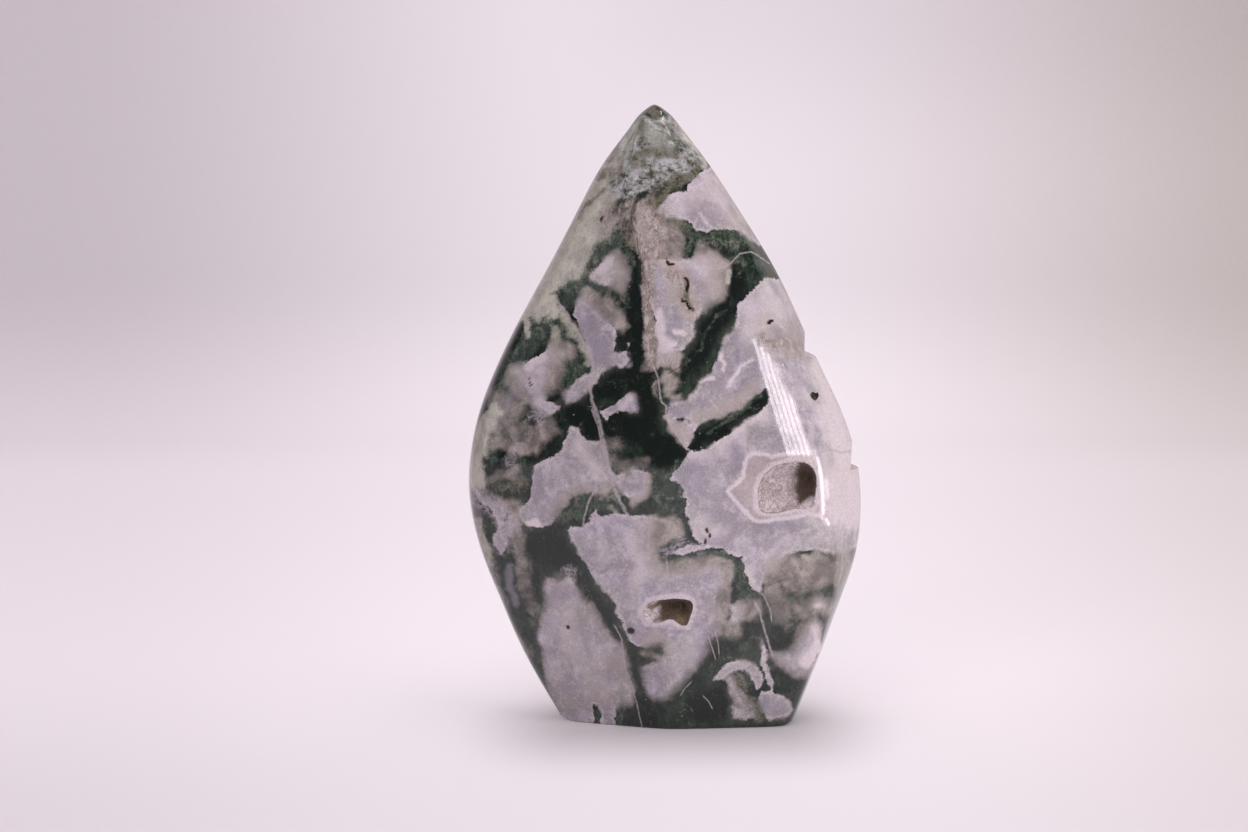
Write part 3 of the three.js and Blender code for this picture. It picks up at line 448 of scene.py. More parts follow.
        (1, 1.7, [(-3.4, 83.6), (-3.3, 80), (-2.8, 77), (-2.4, 74.4)]),
        (0.9, 1.1, [(-2.8, 74.4), (-2.7, 70), (-2.9, 66), (-2.5, 62), (-1.9, 58.4)]),
        (0.9, 1.2, [(-0.8, 81.6), (-1.2, 79.4), (-0.7, 77.4), (-0.2, 75.4)]),
        (0.7, 1.8, [(-8.2, 83.2), (-9, 81.4), (-7, 81.6), (-6, 83.6)]),
        (0.5, 1.4, [(-6.4, 79.8), (-5.6, 78)]),
        (0.7, 1.3, [(0.8, 73), (2.4, 72), (3.6, 70.6), (3, 68.6), (4.2, 67.2)]),
        (0.8, 1.1, [(14.8, 62.2), (17, 61.2), (19.6, 61.6), (22, 60.4)]),
        (0.5, 1.2, [(21, 60.8), (22.4, 58.8)]), (0.4, 2, [(26, 46), (28, 42), (29, 38.6)]),
        (0.4, 2, [(24, 57), (26.4, 51)]), (0.5, 0.8, [(-1.3, 56), (-0.9, 53.4)]),
    ],
    "soft": [
        (0.8, 1.6, [(-14, 19.4), (-11, 16), (-8.6, 12.4), (-6.8, 9), (-6, 5), (-6.6, 2)]),
        (0.5, 1.2, [(-19.4, 21), (-20, 14), (-19.6, 8), (-17.8, 1.6)]),
        (0.8, 1.5, [(8.6, 16), (7.2, 12.4), (5.4, 9), (2.6, 5.6), (0.6, 3.6), (-1.8, 3.1), (-3.3, 7)]),
        (0.9, 1.4, [(18.4, 9.8), (21, 10.6), (22.4, 12.6), (24.2, 15.2)]),
        (0.9, 1.2, [(18.6, 9), (21.2, 7.2), (23.6, 7)]),
        (0.8, 1.4, [(-7.2, 75.6), (-6.4, 72.8), (-7.2, 70.2)]),
        (0.6, 1, [(-13.4, 68.4), (-12, 67.8), (-9.8, 65.6)]),
        (0.8, 1.2, [(-24.7, 57.2), (-23.4, 54.8), (-22, 52.2), (-20, 50.4)]),
        (0.6, 1, [(-16.2, 59.6), (-18.8, 57.6), (-19.8, 53.4)]),
        (0.7, 1.2, [(-8, 38.4), (-12, 38.4), (-16.4, 36), (-18.2, 33)]),
        (0.8, 1.5, [(6.6, 76.2), (9.6, 73.8), (9, 70.4), (7, 67.8)]),
        (0.6, 1, [(-15.2, 52.6), (-12.8, 54), (-16.2, 53)]), (0.5, 1, [(11.4, 6.4), (12.4, 3.4), (16, 2)]),
        (0.7, 0.8, [(24.2, 18), (25.6, 18.4)]), (0.5, 1, [(12.6, 17.6), (12, 15.4)]),
        (0.6, 1, [(-5.2, 53), (-4.8, 50.6)]),
    ],
    "slit": [
        (0.9, 0.2, [(0.4, 74.3), (1, 74), (2.2, 74.1)]),
        (1, 0.24, [(3.8, 72.2), (4.3, 71.6), (4.2, 70.9), (3.6, 70.1)]),
        (1, 0.28, [(3.1, 68.5), (3.5, 67.8), (3.7, 67.1), (4.6, 66.7)]),
        (0.9, 0.22, [(16.8, 64.6), (17.2, 65.1), (17.8, 65.4)]),
        (0.8, 0.2, [(-22.5, 55.7), (-22.2, 54.8)]), (0.8, 0.2, [(-9.9, 81), (-9.3, 81.7)]),
    ],
    "veil": [
        (0.8, 0.6, [(-25.8, 25.2), (-25, 21.6), (-24, 18.6)]),
        (0.6, 0.8, [(-31.4, 44), (-31.6, 38), (-30.6, 33)]), (0.5, 1.4, [(-24, 54.4), (-27.4, 49.6)]),
    ],
    "tan": [
        (0.4, 2, [(-16.8, 17), (-15.4, 13), (-14.4, 9.6)]),
        (0.4, 2, [(-15.4, 3), (-12.4, 2.4), (-9.4, 2.8)]), (0.6, 1.6, [(-9.6, 9), (-7.6, 8)]),
        (0.6, 1.4, [(-17.6, 21.6), (-16.4, 21.6)]),
        (1, 1.8, [(0.6, 74), (2.8, 73.2), (3.6, 71.4), (3, 69), (4.2, 67)]),
        (0.8, 1.8, [(16.4, 65), (18.8, 62.4), (21, 60.6)]),
        (0.7, 1.5, [(20.4, 64), (21.6, 61.4), (23.4, 60.2)]),
        (0.7, 1.3, [(26.4, 41), (28.4, 39.8), (30.4, 41.2)]), (0.6, 1.2, [(9, 73.6), (8.6, 71.4)]),
        (0.6, 1.4, [(23.4, 58), (24.8, 56)]), (0.5, 1.4, [(-22.4, 56.6), (-20.4, 58.4)]),
        (0.5, 2, [(-3.4, 30.4), (-2.6, 26.6)]), (0.6, 1.6, [(10, 87.6), (12.4, 83.4)]),
        (0.5, 3, [(5.6, 84.6), (9.6, 86), (12, 81.6)]),
    ],
    "lace": [
        (0.5, 1.5, [(-25.4, 46.6), (-24.2, 44.4), (-25.6, 41.6), (-24, 39.6)]),
        (1, 1.5, [(-30, 36.4), (-28, 34.8), (-26.6, 33.4), (-25.8, 31.6)]),
        (0.7, 1.4, [(-19.6, 51.6), (-18, 51.2), (-21.4, 49.4)]), (0.6, 0.7, [(-11, 38.8), (-11.6, 37.4)]),
        (0.6, 1.2, [(-21.6, 46.4), (-20, 48.4)]), (0.6, 1.2, [(-27.4, 29.8), (-26.2, 28.2)]),
        (0.7, 0.9, [(-16.2, 24.2), (-15.4, 23.2)]), (0.6, 1.2, [(4, 28.4), (6, 27.4), (6.8, 29.6)]),
        (0.5, 0.7, [(-6.9, 60.4), (-6.2, 58.2)]), (0.7, 0.9, [(0, 27.6), (1.6, 27.8), (2.8, 29.8)]),
    ],
    "speckle": [
        (1, 2, [(-6.4, 87), (-4, 87.4), (-2.6, 88.6)]),
        (1, 2.4, [(-3.8, 90), (-0.8, 90), (2.2, 90.4), (3.6, 90.2)]),
        (1, 2.2, [(-3, 93.4), (-1.6, 95.2), (0.2, 95)]),
        (0.7, 0.5, [(-4.4, 97.4), (-2.4, 96.6), (-0.4, 97.4)]),
    ],
    "umber": [
        (0.7, 0.9, [(-5, 91.4), (-3.6, 92.4), (-1, 92.7), (0.8, 92.4)]),
        (0.6, 2, [(-1.8, 95.4), (0, 94.6)]), (0.5, 1, [(-4.8, 90.4), (-2.8, 91)]),
        (1, 1.1, [(-2.8, 98.8), (-2.2, 98.6), (-1.8, 97.6)]), (0.7, 0.8, [(-3.8, 94.6), (-4, 96.6)]),
        (0.8, 0.8, [(5.2, 89.8), (3.4, 88.4), (1.4, 87.2), (0, 86), (-0.8, 84.6), (-2, 83.6), (-2.9, 83.9)]),
        (0.7, 0.4, [(-3, 84.2), (-2, 85.8), (-0.4, 87.2), (1, 88.4), (3.2, 88.9)]),
        (0.6, 0.8, [(-9.6, 89.4), (-7, 90)]),
        (0.4, 0.8, [(-0.6, 81), (2, 81), (4.4, 79.6), (4.6, 77.4), (3.6, 75.6)]),
        (0.6, 0.5, [(-9.6, 86.8), (-11.8, 84.6), (-13.6, 82.6)]), (0.5, 1, [(-5.9, 78.8), (-5.4, 77.4)]),
        (0.5, 0.7, [(-8, 41.4), (-5, 41.3)]), (0.5, 1.2, [(-28.6, 38), (-26, 37.8), (-23, 38.4)]),
        (0.7, 0.5, [(4.2, 71.8), (3.6, 69.8), (3.6, 67.8), (4.6, 66.6)]),
        (0.55, 1, [(12, 6.8), (13.2, 4.8), (14.4, 2.4), (15.4, -0.4)]),
    ],
}

# Thin lines: half width in mm and points, pale ones and dark ones
PALE_LINES = [
    (0.28, [
        (-17.6, 68.4), (-16, 66.3), (-14.9, 64.5), (-13.6, 62.3), (-12.3, 60.3), (-11.7, 58.3),
        (-11.8, 56), (-12.2, 54), (-11.8, 52), (-10.9, 49.5), (-10.3, 47), (-9.7, 44), (-9, 41),
        (-8.5, 38.5), (-7.8, 36.7), (-7, 35), (-6.3, 33.7), (-5.2, 32), (-4.3, 31), (-3.3, 29.5),
    ]),
    (0.14, [(-10.4, 45.4), (-10.9, 48), (-11.9, 50.6)]),
    (0.13, [(8.4, 73.5), (9.6, 73.9), (10.5, 74.4), (12, 76), (13.8, 76.4), (15.3, 75.5), (16.8, 74.4)]),
    (0.17, [(-11.3, 37.6), (-12.4, 35.7), (-13, 33.6), (-13.4, 31.5)]),
    (0.2, [(14.8, 18.8), (15.4, 17.6), (16, 15.6), (16.6, 13.5), (17.2, 11.4), (17.7, 10)]),
    (0.12, [(17.5, 15.8), (17.4, 17.2), (16.8, 18.8), (15.9, 20.4)]),
    (0.12, [(0.3, 26), (0.5, 23), (0.9, 21)]),
    (0.1, [(7.2, 13.2), (7.9, 10.8), (8.3, 9.5)]),
    (0.1, [(8.9, 10.4), (8.8, 11.8), (8.3, 13.9)]),
    (0.12, [(-8.2, 15), (-7.4, 13.6), (-7, 12.5)]),
    (0.12, [(-7, 12.3), (-6.5, 8), (-5.3, 5), (-4.6, 2), (-3.9, -1), (-3.6, -3)]),
    (0.16, [
        (-1.9, 57.7), (-1.1, 56), (-0.9, 54), (-0.7, 52), (0.2, 51.2), (0.1, 49.6), (0.9, 48), (1.8, 46.7),
        (2.6, 45.5), (3.5, 44.2), (4.2, 43.9),
    ]),
    (0.1, [(2.6, 3.4), (3.2, 4.4), (4.4, 5.6)]),
    (0.22, [(25.2, 43.6), (27, 44.1), (28.8, 43.6), (31, 44)]),
    (0.2, [(18.6, 60.2), (19.6, 58.4), (21, 56.4), (21.8, 53.8), (22.6, 52)]),
    (0.1, [(6.4, 3.2), (7.2, 2.4), (7.8, 1.2)]),
]
DARK_LINES = [
    (0.2, [(-4.9, 84.6), (-5.3, 83.2), (-5.6, 81.6), (-5.2, 80.2), (-4.8, 79.4)]),
    (0.1, [(-4.6, 78.6), (-4.4, 76.8), (-3.7, 74.6), (-3.5, 72.4)]),
    (0.1, [(-2.8, 71.6), (-2.5, 69.4), (-2.9, 67.6)]),
    (0.1, [(0.6, 56.6), (2.4, 57.6), (4, 58.6)]),
]

# Bubbles pressed into the surface, their insides painted near-black as shade: half width and depth in mm, and
# the points of a line
BUBBLES = [
    (0.6, 0.35, [(-5.7, 14.2), (-5.4, 14.1)]),
    (0.36, 0.2, [(-15.9, 14.8), (-15.8, 14.7)]),
    (0.32, 0.25, [(6.7, 31), (7, 30.6)]),
    (0.3, 0.25, [(7.3, 30), (7.3, 29.8)]),
    (0.26, 0.25, [(6.6, 29.2), (6.5, 28.6)]),
]

# Colours that only the markings use
MOTTLE = (0.22, 0.225, 0.21)
TAN = (0.36, 0.285, 0.25)
CRUMB_DARK = (0.055, 0.056, 0.038)
CRUMB_GREY = (0.21, 0.205, 0.195)
CRUMB_PALE = (0.42, 0.405, 0.43)
CRUMB_OLIVE = (0.11, 0.11, 0.09)
SLIT_DARK = (0.016, 0.012, 0.009)
BUBBLE_SHADE = (0.02, 0.015, 0.011)
DRUSE_BROWN = (0.2, 0.14, 0.1)
QUARTZ_IOR = 1.54
SWEEP_BEND = 320

# The camera: tilt from straight down in degrees, focal length and sensor width in mm
CAMERA_TILT = 83
FOCAL_LENGTH = 90
SENSOR_WIDTH = 36
STONE_MIDDLE = (0, 0, 50)

# Where light shows in the polish: height in the picture, then left and right end there, in mm
WINDOW = {
    "above_hollow": [
        (62.3, 14.1, 14.5), (60.2, 14.7, 16.6), (57.1, 15.5, 18.6), (53.6, 16.6, 20.3), (49.7, 17.8, 22.2),
        (45.2, 19.3, 23.7), (43, 20, 24.4),
    ],
    "beside_hollow": [(42.9, 24.5, 25), (41.1, 24.9, 25.6), (38.6, 25.3, 26.4), (33.4, 25.6, 26.5)],
    "below_hollow": [(33.4, 22.6, 26.5), (31, 23.7, 26.3), (28.2, 24.4, 25.5)],
}
SKYLIGHT = {
    "left": [(97.4, -2.8, -2.3), (96.8, -2.7, -1.7)],
    "right": [(99.3, -0.9, -0.6), (97.9, -0.8, 0.2), (96.8, -0.9, 0.5)],
    "middle": [(96.7, -2.7, 0.5), (93.8, -2.6, 1.2), (93.1, -2.3, 1.1)],
}
SIDE_GLEAM = {
    "left_facet": [(96.6, -5.2, -4.5), (92.4, -6.5, -5.2), (88.8, -7, -6.2)],
}
MISSING_CELLS = 0.25

# Panels of light that only the polish shows. First those placed by mirroring rays from the eye point:
# panel, light, colour, strength, where it shows, pitch of its cells, share of them that is filled,
# distance from the stone in metres, and where given the seed of its gaps and its slant
MIRRORED_PANELS = (
    (
        "window_reflection", "window_lines", (1, 0.94, 0.98), 11,
        WINDOW, (0.8, 1.2), (0.62, 0.82), 0.3, None, 0.16,
    ),
    ("window_veil", "window_veil", (1, 0.88, 0.94), 4.4, WINDOW, (0.68, 1.15), (1, 1), 0.31),
    (
        "skylight_reflection", "skylight_lines", (0.97, 1, 0.98), 9,
        SKYLIGHT, (0.3, 0.62), (0.62, 0.85), 0.3, 4,
    ),
    ("side_reflection", "side_gleam", (0.93, 0.98, 1), 1.7, SIDE_GLEAM, (0.75, 0.75), (1, 1), 0.3),
)
# Then plain ones: panel, light, colour, strength, middle, width and height in mm
PLAIN_PANELS = (
    ("dim_reflection", "dim_wall", (0.97, 1, 0.99), 0.42, (620, 440, 150), 850, 700),
    ("wall_reflection", "pale_wall", (0.87, 0.97, 0.94), 0.5, (-900, -380, 200), 700, 700),
)


def metres(name, description, default, **more):
    return FloatProperty(name=name, description=description, default=default, unit="LENGTH", **more)


def tint(name, description, default):
    return FloatVectorProperty(name=name, description=description, default=default, subtype="COLOR", size=3)


class StoneSizes(bpy.types.PropertyGroup):
    height: metres("Height", "From base to tip", 0.1)
    half_width: metres("Half width", "Half of the width at the belly", 0.03198)
    half_thickness: metres("Half thickness", "Half of the thickness at the belly", 0.0155)
    tip_radius: metres("Tip radius", "How much the tip is rounded", 0.0022)
    base_edge: metres("Base edge radius", "How much the base's edge is eased", 0.0008)
    sharpness: FloatProperty(
        name="Facet sharpness", description="How sharply the facets meet", default=16, min=2, max=60
    )
    spacing: metres("Detail", "Distance between points on the front", 0.00036, precision=5)


class AgateColours(bpy.types.PropertyGroup):
    pale: tint("Pale agate", "White and lavender patches", (0.358, 0.315, 0.366))
    bright: tint("Bright agate", "Whitest places", (0.66, 0.57, 0.6))
    haze: tint("Lavender haze", "Greyer places", (0.243, 0.212, 0.26))
    dark: tint("Dark moss", "Nearly black moss", (0.0075, 0.0112, 0.0098))
    moss: tint("Green moss", "Green threads", (0.062, 0.09, 0.066))
    smoke: tint("Smoky agate", "Clear brown-grey places", (0.29, 0.248, 0.236))
    sage: tint("Sage agate", "Pale grey-green places", (0.43, 0.4, 0.35))
    rose: tint("Rose agate", "Pink-tan bands", (0.42, 0.33, 0.33))
    umber: tint("Umber", "Brown bands", (0.108, 0.098, 0.064))


class DruseSettings(bpy.types.PropertyGroup):
    crystal: metres("Crystal width", "Widest crystal of a crust", 0.0004, precision=5)
    spacing: metres("Crystal spacing", "Least distance between crystals", 0.00022, precision=5)
    seed: IntProperty(name="Seed", description="Changes where the crystals stand", default=7)
    colour: tint("Crystal colour", "Colour of the lit crystals", (0.55, 0.47, 0.49))


class StageSettings(bpy.types.PropertyGroup):
    paper: tint("Paper", "Colour of floor and backdrop", (0.955, 0.9, 0.945))
    overhead: FloatProperty(
        name="Overhead light", description="Power of the big soft light", default=8.8, unit="POWER"
    )
    side: FloatProperty(
        name="Side light", description="Power of the light from the right", default=13.6, unit="POWER"
    )


def smooth_curve(shares, values):
    """A natural cubic spline through the stations' values."""
    at = np.array(shares, float)
    value = np.array(values, float)
    count = len(at)
    span = np.diff(at)
    system = np.eye(count)
    target = np.zeros(count)
    for i in range(1, count - 1):
        system[i, i - 1 : i + 2] = (span[i - 1], 2 * (span[i - 1] + span[i]), span[i])
        target[i] = 6 * ((value[i + 1] - value[i]) / span[i] - (value[i] - value[i - 1]) / span[i - 1])
    bend = np.linalg.solve(system, target)

    def curve(share):
        i = int(np.clip(np.searchsorted(at, share) - 1, 0, count - 2))
        a = (at[i + 1] - share) / span[i]
        b = 1 - a
        sag = ((a**3 - a) * bend[i] + (b**3 - b) * bend[i + 1]) * span[i] ** 2 / 6
        return a * value[i] + b * value[i + 1] + sag

    return curve


def norms(rows):
    return np.linalg.norm(rows, axis=1)


def stone_section(z, sizes, curves, angles):
    """One level section of the stone, in millimetres, as rows of x and y."""
    height = sizes.height / MM
    wide = sizes.half_width / MM
    left, right, depth, ridge, bevel = (curve(z / height) for curve in curves)
    middle = (right - left) / 2 * wide
    half_width = (right + left) / 2 * wide
    corners = np.array([
        LEFT_FRONT_EDGE, (ridge, -1), (bevel, BEVEL_DEEP), RIGHT_EDGE,
        BACK_RIGHT_RIDGE, (-ridge, 1), BACK_BEVEL, LEFT_BACK_EDGE,
    ])
    along = np.roll(corners, -1, axis=0) - corners
    out = np.stack([along[:, 1], -along[:, 0]], axis=1) / norms(along)[:, None]
    away = (out * corners).sum(axis=1)
    facing = np.stack([np.cos(angles), np.sin(angles)], axis=1)
    reach = np.maximum(0, facing @ out.T / away)
    section = facing * (reach**sizes.sharpness).sum(axis=1)[:, None] ** (-1 / sizes.sharpness)
    low = section.min(axis=0)
    high = section.max(axis=0)
    section = 2 * (section - low) / (high - low) - 1
    tip = sizes.tip_radius / MM
    edge = sizes.base_edge / MM
    into_tip = max(0, z - (height - tip)) / tip
    into_base = max(0, edge - z)
    inset = edge - math.sqrt(edge**2 - into_base**2)
    shrink = math.sqrt(max(0, 1 - into_tip**2)) * (1 - inset / half_width)
    section[:, 0] = middle + section[:, 0] * half_width * shrink
    section[:, 1] *= depth * sizes.half_thickness / MM * shrink
    return section


def ring_along(section, count):
    """Points at even steps round a section, closer together on the front than on the back."""
    closed = np.vstack([section, section[:1]])
    on_front = closed[:-1, 1] < 0.1 * abs(closed[:, 1]).max()
    run = np.cumsum(norms(np.diff(closed, axis=0)) * np.where(on_front, 1.0, BACK_DETAIL))
    run = np.concatenate([[0], run])
    at = np.linspace(0, run[-1], count, endpoint=False)
    return np.stack([np.interp(at, run, closed[:, axis]) for axis in (0, 1)], axis=1)


def skin(rings, first, last):
    """Points and faces of a closed skin over rings of points, with a fan of faces at each end."""
    count = len(rings[0])
    points = np.vstack([*rings, [first], [last]])
    turn = np.arange(count)
    after = (turn + 1) % count
    faces = []
    for row in range(len(rings) - 1):
        a = row * count
        b = a + count
        faces += np.stack([a + turn, a + after, b + after, b + turn], axis=1).tolist()
    start = len(points) - 2
    top = (len(rings) - 1) * count
    faces += [[start, j, i] for i, j in zip(turn.tolist(), after.tolist())]
    faces += [[start + 1, top + i, top + j] for i, j in zip(turn.tolist(), after.tolist())]
    return points, faces


def placed(name, data):
    """A new object in the scene that shows the given data."""
    thing = bpy.data.objects.new(name, data)
    bpy.context.scene.collection.objects.link(thing)
    return thing


def mesh_piece(name, points, faces, smooth=True):
    """A new object in the scene, from points in millimetres."""
    mesh = bpy.data.meshes.new(name)
    mesh.from_pydata((np.asarray(points) * MM).tolist(), [], faces)
    mesh.update()
    mesh.polygons.foreach_set("use_smooth", [smooth] * len(mesh.polygons))
    return placed(name, mesh)


def baked(piece, name):
    """The piece with its modifiers applied, as a plain mesh object that takes its place."""
    graph = bpy.context.evaluated_depsgraph_get()
    graph.update()
    mesh = bpy.data.meshes.new_from_object(piece.evaluated_get(graph))
    bpy.data.objects.remove(piece)
    mesh.name = name
    return placed(name, mesh)


def closed_outline(points, steps):
    """A closed Catmull-Rom curve through the points, with an even step in its parameter."""
    points = np.array(points, float)
    count = len(points)
    at = np.arange(steps) / steps * count
    i = at.astype(int)
    t = (at - i)[:, None]
    before, here, after, beyond = (points[(i + k) % count] for k in (-1, 0, 1, 2))
    pairs = ((before, here), (here, after), (after, beyond))
    d0, d1, d2 = (np.maximum(norms(b - a), 1e-4)[:, None] ** 0.5 for a, b in pairs)
    lean_in = ((here - before) / d0 - (after - before) / (d0 + d1) + (after - here) / d1) * d1
    lean_out = ((after - here) / d1 - (beyond - here) / (d1 + d2) + (beyond - after) / d2) * d1
    square = -3 * here + 3 * after - 2 * lean_in - lean_out
    cube = 2 * here - 2 * after + lean_in + lean_out
    return here + lean_in * t + square * t**2 + cube * t**3


def rough(points, size, seed):
    """A repeatable bumpy value from -1 to 1 for each point, from a few crossed waves."""
    rng = np.random.default_rng(seed)
    total = np.zeros(len(points))
    for octave in range(4):
        for _ in range(5):
            way = rng.normal(size=3)
            way *= 2**octave / size / np.linalg.norm(way) * 2.2
            total += np.sin(points @ way + rng.uniform(0, 6.3)) * 0.6**octave
    return total / 5.2


def hollow_wall(hollow, outline, down, inset=0.0):
    """One turn of points round a hollow's wall at a share of its depth."""
    width = (1 - down**NARROWING) ** BLUNTNESS if down > 0 else 1
    slide = (1 - width) * hollow["half_width"]
    x = hollow["x"] + outline[:, 0] * width * (1 - inset / hollow["half_width"])
    z = hollow["z"] + outline[:, 1] * width * (1 - inset / hollow["half_height"])
    y = hollow["face"] + down * (hollow["deepest"] - inset)
    x += slide * hollow["lean_right"]
    z += slide * hollow["lean_up"]
    ring = np.stack([x, np.full(len(x), y), z], axis=1)
    out = ring - ring.mean(axis=0)
    out /= np.maximum(norms(out), 1e-6)[:, None]
    return ring + out * (rough(ring * [1, 0.35, 1], 1.2, 3) * WALL_UNEVENNESS)[:, None]


def hollow_cutter(hollow, steps, rows):
    """The closed block that opens a hollow, with a naturally uneven wall."""
    outline = closed_outline(hollow["outline"], steps)
    downs = [CUTTER_STARTS_AT, -0.3] + [row / rows for row in range(rows)]
    rings = [hollow_wall(hollow, outline, down) for down in downs]
    bottom = hollow_wall(hollow, outline, 1.0).mean(axis=0)
    return skin(rings, rings[0].mean(axis=0), bottom)


def chip_cutter(chip, half_width):
    """The block that takes a chip out of the right edge."""
    top, (inner_x, inner_z), (outer_x, outer_z) = chip
    fall = (inner_z - outer_z) / (outer_x - inner_x)
    far = half_width + CHIP_OVERHANG
    points = []
    for along in np.linspace(-1, 1, CHIP_STEPS + 1):
        y = along * CHIP_HALF_LENGTH
        dish = CHIP_DISH * along**2
        points.append((inner_x + dish, y, inner_z - dish * fall))
        points.append((far, y, inner_z - (far - inner_x) * fall))
        points.append((top[0] + dish, y, top[1] - 2 * dish))
        points.append((far, y, top[1]))
    return points


def cutter_piece(name, parts):
    """One object out of several closed blocks; each block is given with its material index."""
    shape = bmesh.new()
    for points, faces, slot in parts:
        start = [shape.verts.new(Vector(p) * MM) for p in np.asarray(points).tolist()]
        if faces is None:
            hull = bmesh.ops.convex_hull(shape, input=start)
            loose = [v for v in hull["geom_interior"] if isinstance(v, bmesh.types.BMVert)]
            new = [f for f in hull["geom"] if isinstance(f, bmesh.types.BMFace)]
            bmesh.ops.delete(shape, geom=loose, context="VERTS")
        else:
            new = [shape.faces.new([start[i] for i in face]) for face in faces]
        for face in new:
            face.material_index = slot
            face.smooth = True
    bmesh.ops.recalc_face_normals(shape, faces=shape.faces[:])
    mesh = bpy.data.meshes.new(name)
    shape.to_mesh(mesh)
    shape.free()
    return placed(name, mesh)


def as_seen(points):
    """Where points in millimetres appear on the upright plane through the stone's middle."""
    eye = np.array(EYE)
    reach = -eye[1] / (points[:, 1] - eye[1])
    return np.stack([eye[axis] + (points[:, axis] - eye[axis]) * reach for axis in (0, 2)], axis=1)


def wander(seen, behind):
    """Shifts the pattern on the stone's back, so it goes on from the edge without mirroring the front."""
    x, z = seen[:, 0], seen[:, 1]
    shift_x = 7 * np.sin(z / 13 + 0.6) + 5 * np.sin(x / 9 + 1.2)
    shift_z = 8 * np.sin(x / 12 + 2.1) + 4 * np.sin(z / 8)
    return seen + np.stack([shift_x * behind, shift_z * behind], axis=1)


def near(seen, line, reach):
    """Indices of the points within reach of a line's box."""
    line = np.asarray(line)
    low = line.min(axis=0) - reach
    high = line.max(axis=0) + reach
    return np.nonzero(((seen >= low) & (seen <= high)).all(axis=1))[0]


def to_line(spots, line, closed=False):
    """Distance to a line, the signed side of it, and how far a spot lies past its ends."""
    line = np.asarray(line, float)
    if closed:
        line = np.vstack([line, line[:1]])
    best = np.full(len(spots), FAR_OFF)
    side = np.zeros(len(spots))
    past = np.zeros(len(spots))
    for i in range(len(line) - 1):
        step = line[i + 1] - line[i]
        length = max(np.linalg.norm(step), 1e-6)
        away = spots - line[i]
        raw = away @ step / length
        t = np.clip(raw, 0, length)
        gap = norms(away - t[:, None] * step / length)
        cross = away[:, 0] * step[1] - away[:, 1] * step[0]
        over = np.zeros(len(spots))
        if i == 0:
            over = np.maximum(over, -raw)
        if i == len(line) - 2:
            over = np.maximum(over, raw - length)
        closer = gap < best
        best = np.where(closer, gap, best)
        side = np.where(closer, np.sign(cross) * gap, side)
        past = np.where(closer, over, past)
    return best, side, past


def inside(spots, outline):
    """Whether each spot lies inside a closed outline."""
    within = np.zeros(len(spots), bool)
    x, z = spots[:, 0], spots[:, 1]
    for (ax, az), (bx, bz) in zip(outline, outline[1:] + outline[:1]):
        crosses = (az > z) != (bz > z)
        if az != bz:
            within ^= crosses & (x < (bx - ax) * (z - az) / (bz - az) + ax)
    return within


def patch_depth(seen, patches):
    """How deep each spot lies inside the nearest patch in mm, and below zero outside."""
    depth = np.full(len(seen), -EDGE_REACH)
    for outline in patches.values():
        spots = near(seen, outline, EDGE_REACH)
        gap = to_line(seen[spots], outline, closed=True)[0]
        value = np.where(inside(seen[spots], outline), gap, -gap)
        depth[spots] = np.maximum(depth[spots], np.clip(value, -EDGE_REACH, EDGE_REACH))
    return depth


def stroke_field(seen, swell, strokes):
    """How strongly soft strokes of one colour cover each spot; swell makes them wider or narrower."""
    total = np.zeros(len(seen))
    for strength, radius, line in strokes:
        spots = near(seen, line, radius * STROKE_REACH)
        gap = to_line(seen[spots], line)[0] / radius / swell[spots]
        total[spots] = np.maximum(total[spots], strength * np.exp(-((gap * STROKE_EDGE) ** 3)))
    return total


def line_fields(seen, lines):
    """The side of the nearest thin line in half widths, and how near that line is."""
    side = np.full(len(seen), SIDE_LIMIT)
    close = np.zeros(len(seen))
    best = np.full(len(seen), FAR_OFF)
    for half_width, line in lines:
        spots = near(seen, line, LINE_REACH)
        gap, signed, past = to_line(seen[spots], line)
        closer = gap < best[spots]
        mask = np.clip((1.0 - gap) / LINE_FADE, 0, 1) * np.clip(1 - past / LINE_END, 0, 1)
        chosen = spots[closer]
        best[chosen] = gap[closer]
        side[chosen] = np.clip(signed[closer] / half_width, -SIDE_LIMIT, SIDE_LIMIT)
        close[chosen] = mask[closer]
    return side, close


def write_attribute(mesh, name, values):
    layer = mesh.attributes.new(name, "FLOAT", "POINT")
    layer.data.foreach_set("value", np.asarray(values, np.float32))


def mesh_points(mesh):
    points = np.empty(len(mesh.vertices) * 3, np.float32)
    mesh.vertices.foreach_get("co", points)
    return points.reshape(-1, 3).astype(float) / MM


def sink_bubbles(mesh):
    """Presses the small bubbles into the surface, and marks them for painted shade and a rougher polish."""
    points = mesh_points(mesh)
    seen = as_seen(points)
    mark = np.zeros(len(points))
    sink = np.zeros(len(points))
    for half_width, deep, line in BUBBLES:
        spots = near(seen, line, half_width * 3)
        gap = to_line(seen[spots], line)[0] / half_width
        fall = np.exp(-(gap**2) * BUBBLE_SLOPE)
        fall[points[spots, 1] > -1] = 0
        sink[spots] = np.maximum(sink[spots], fall * deep * BUBBLE_DEPTH)
        mark[spots] = np.maximum(mark[spots], fall)
    points[:, 1] += sink
    mesh.vertices.foreach_set("co", (points * MM).astype(np.float32).ravel())
    write_attribute(mesh, "crack", mark)


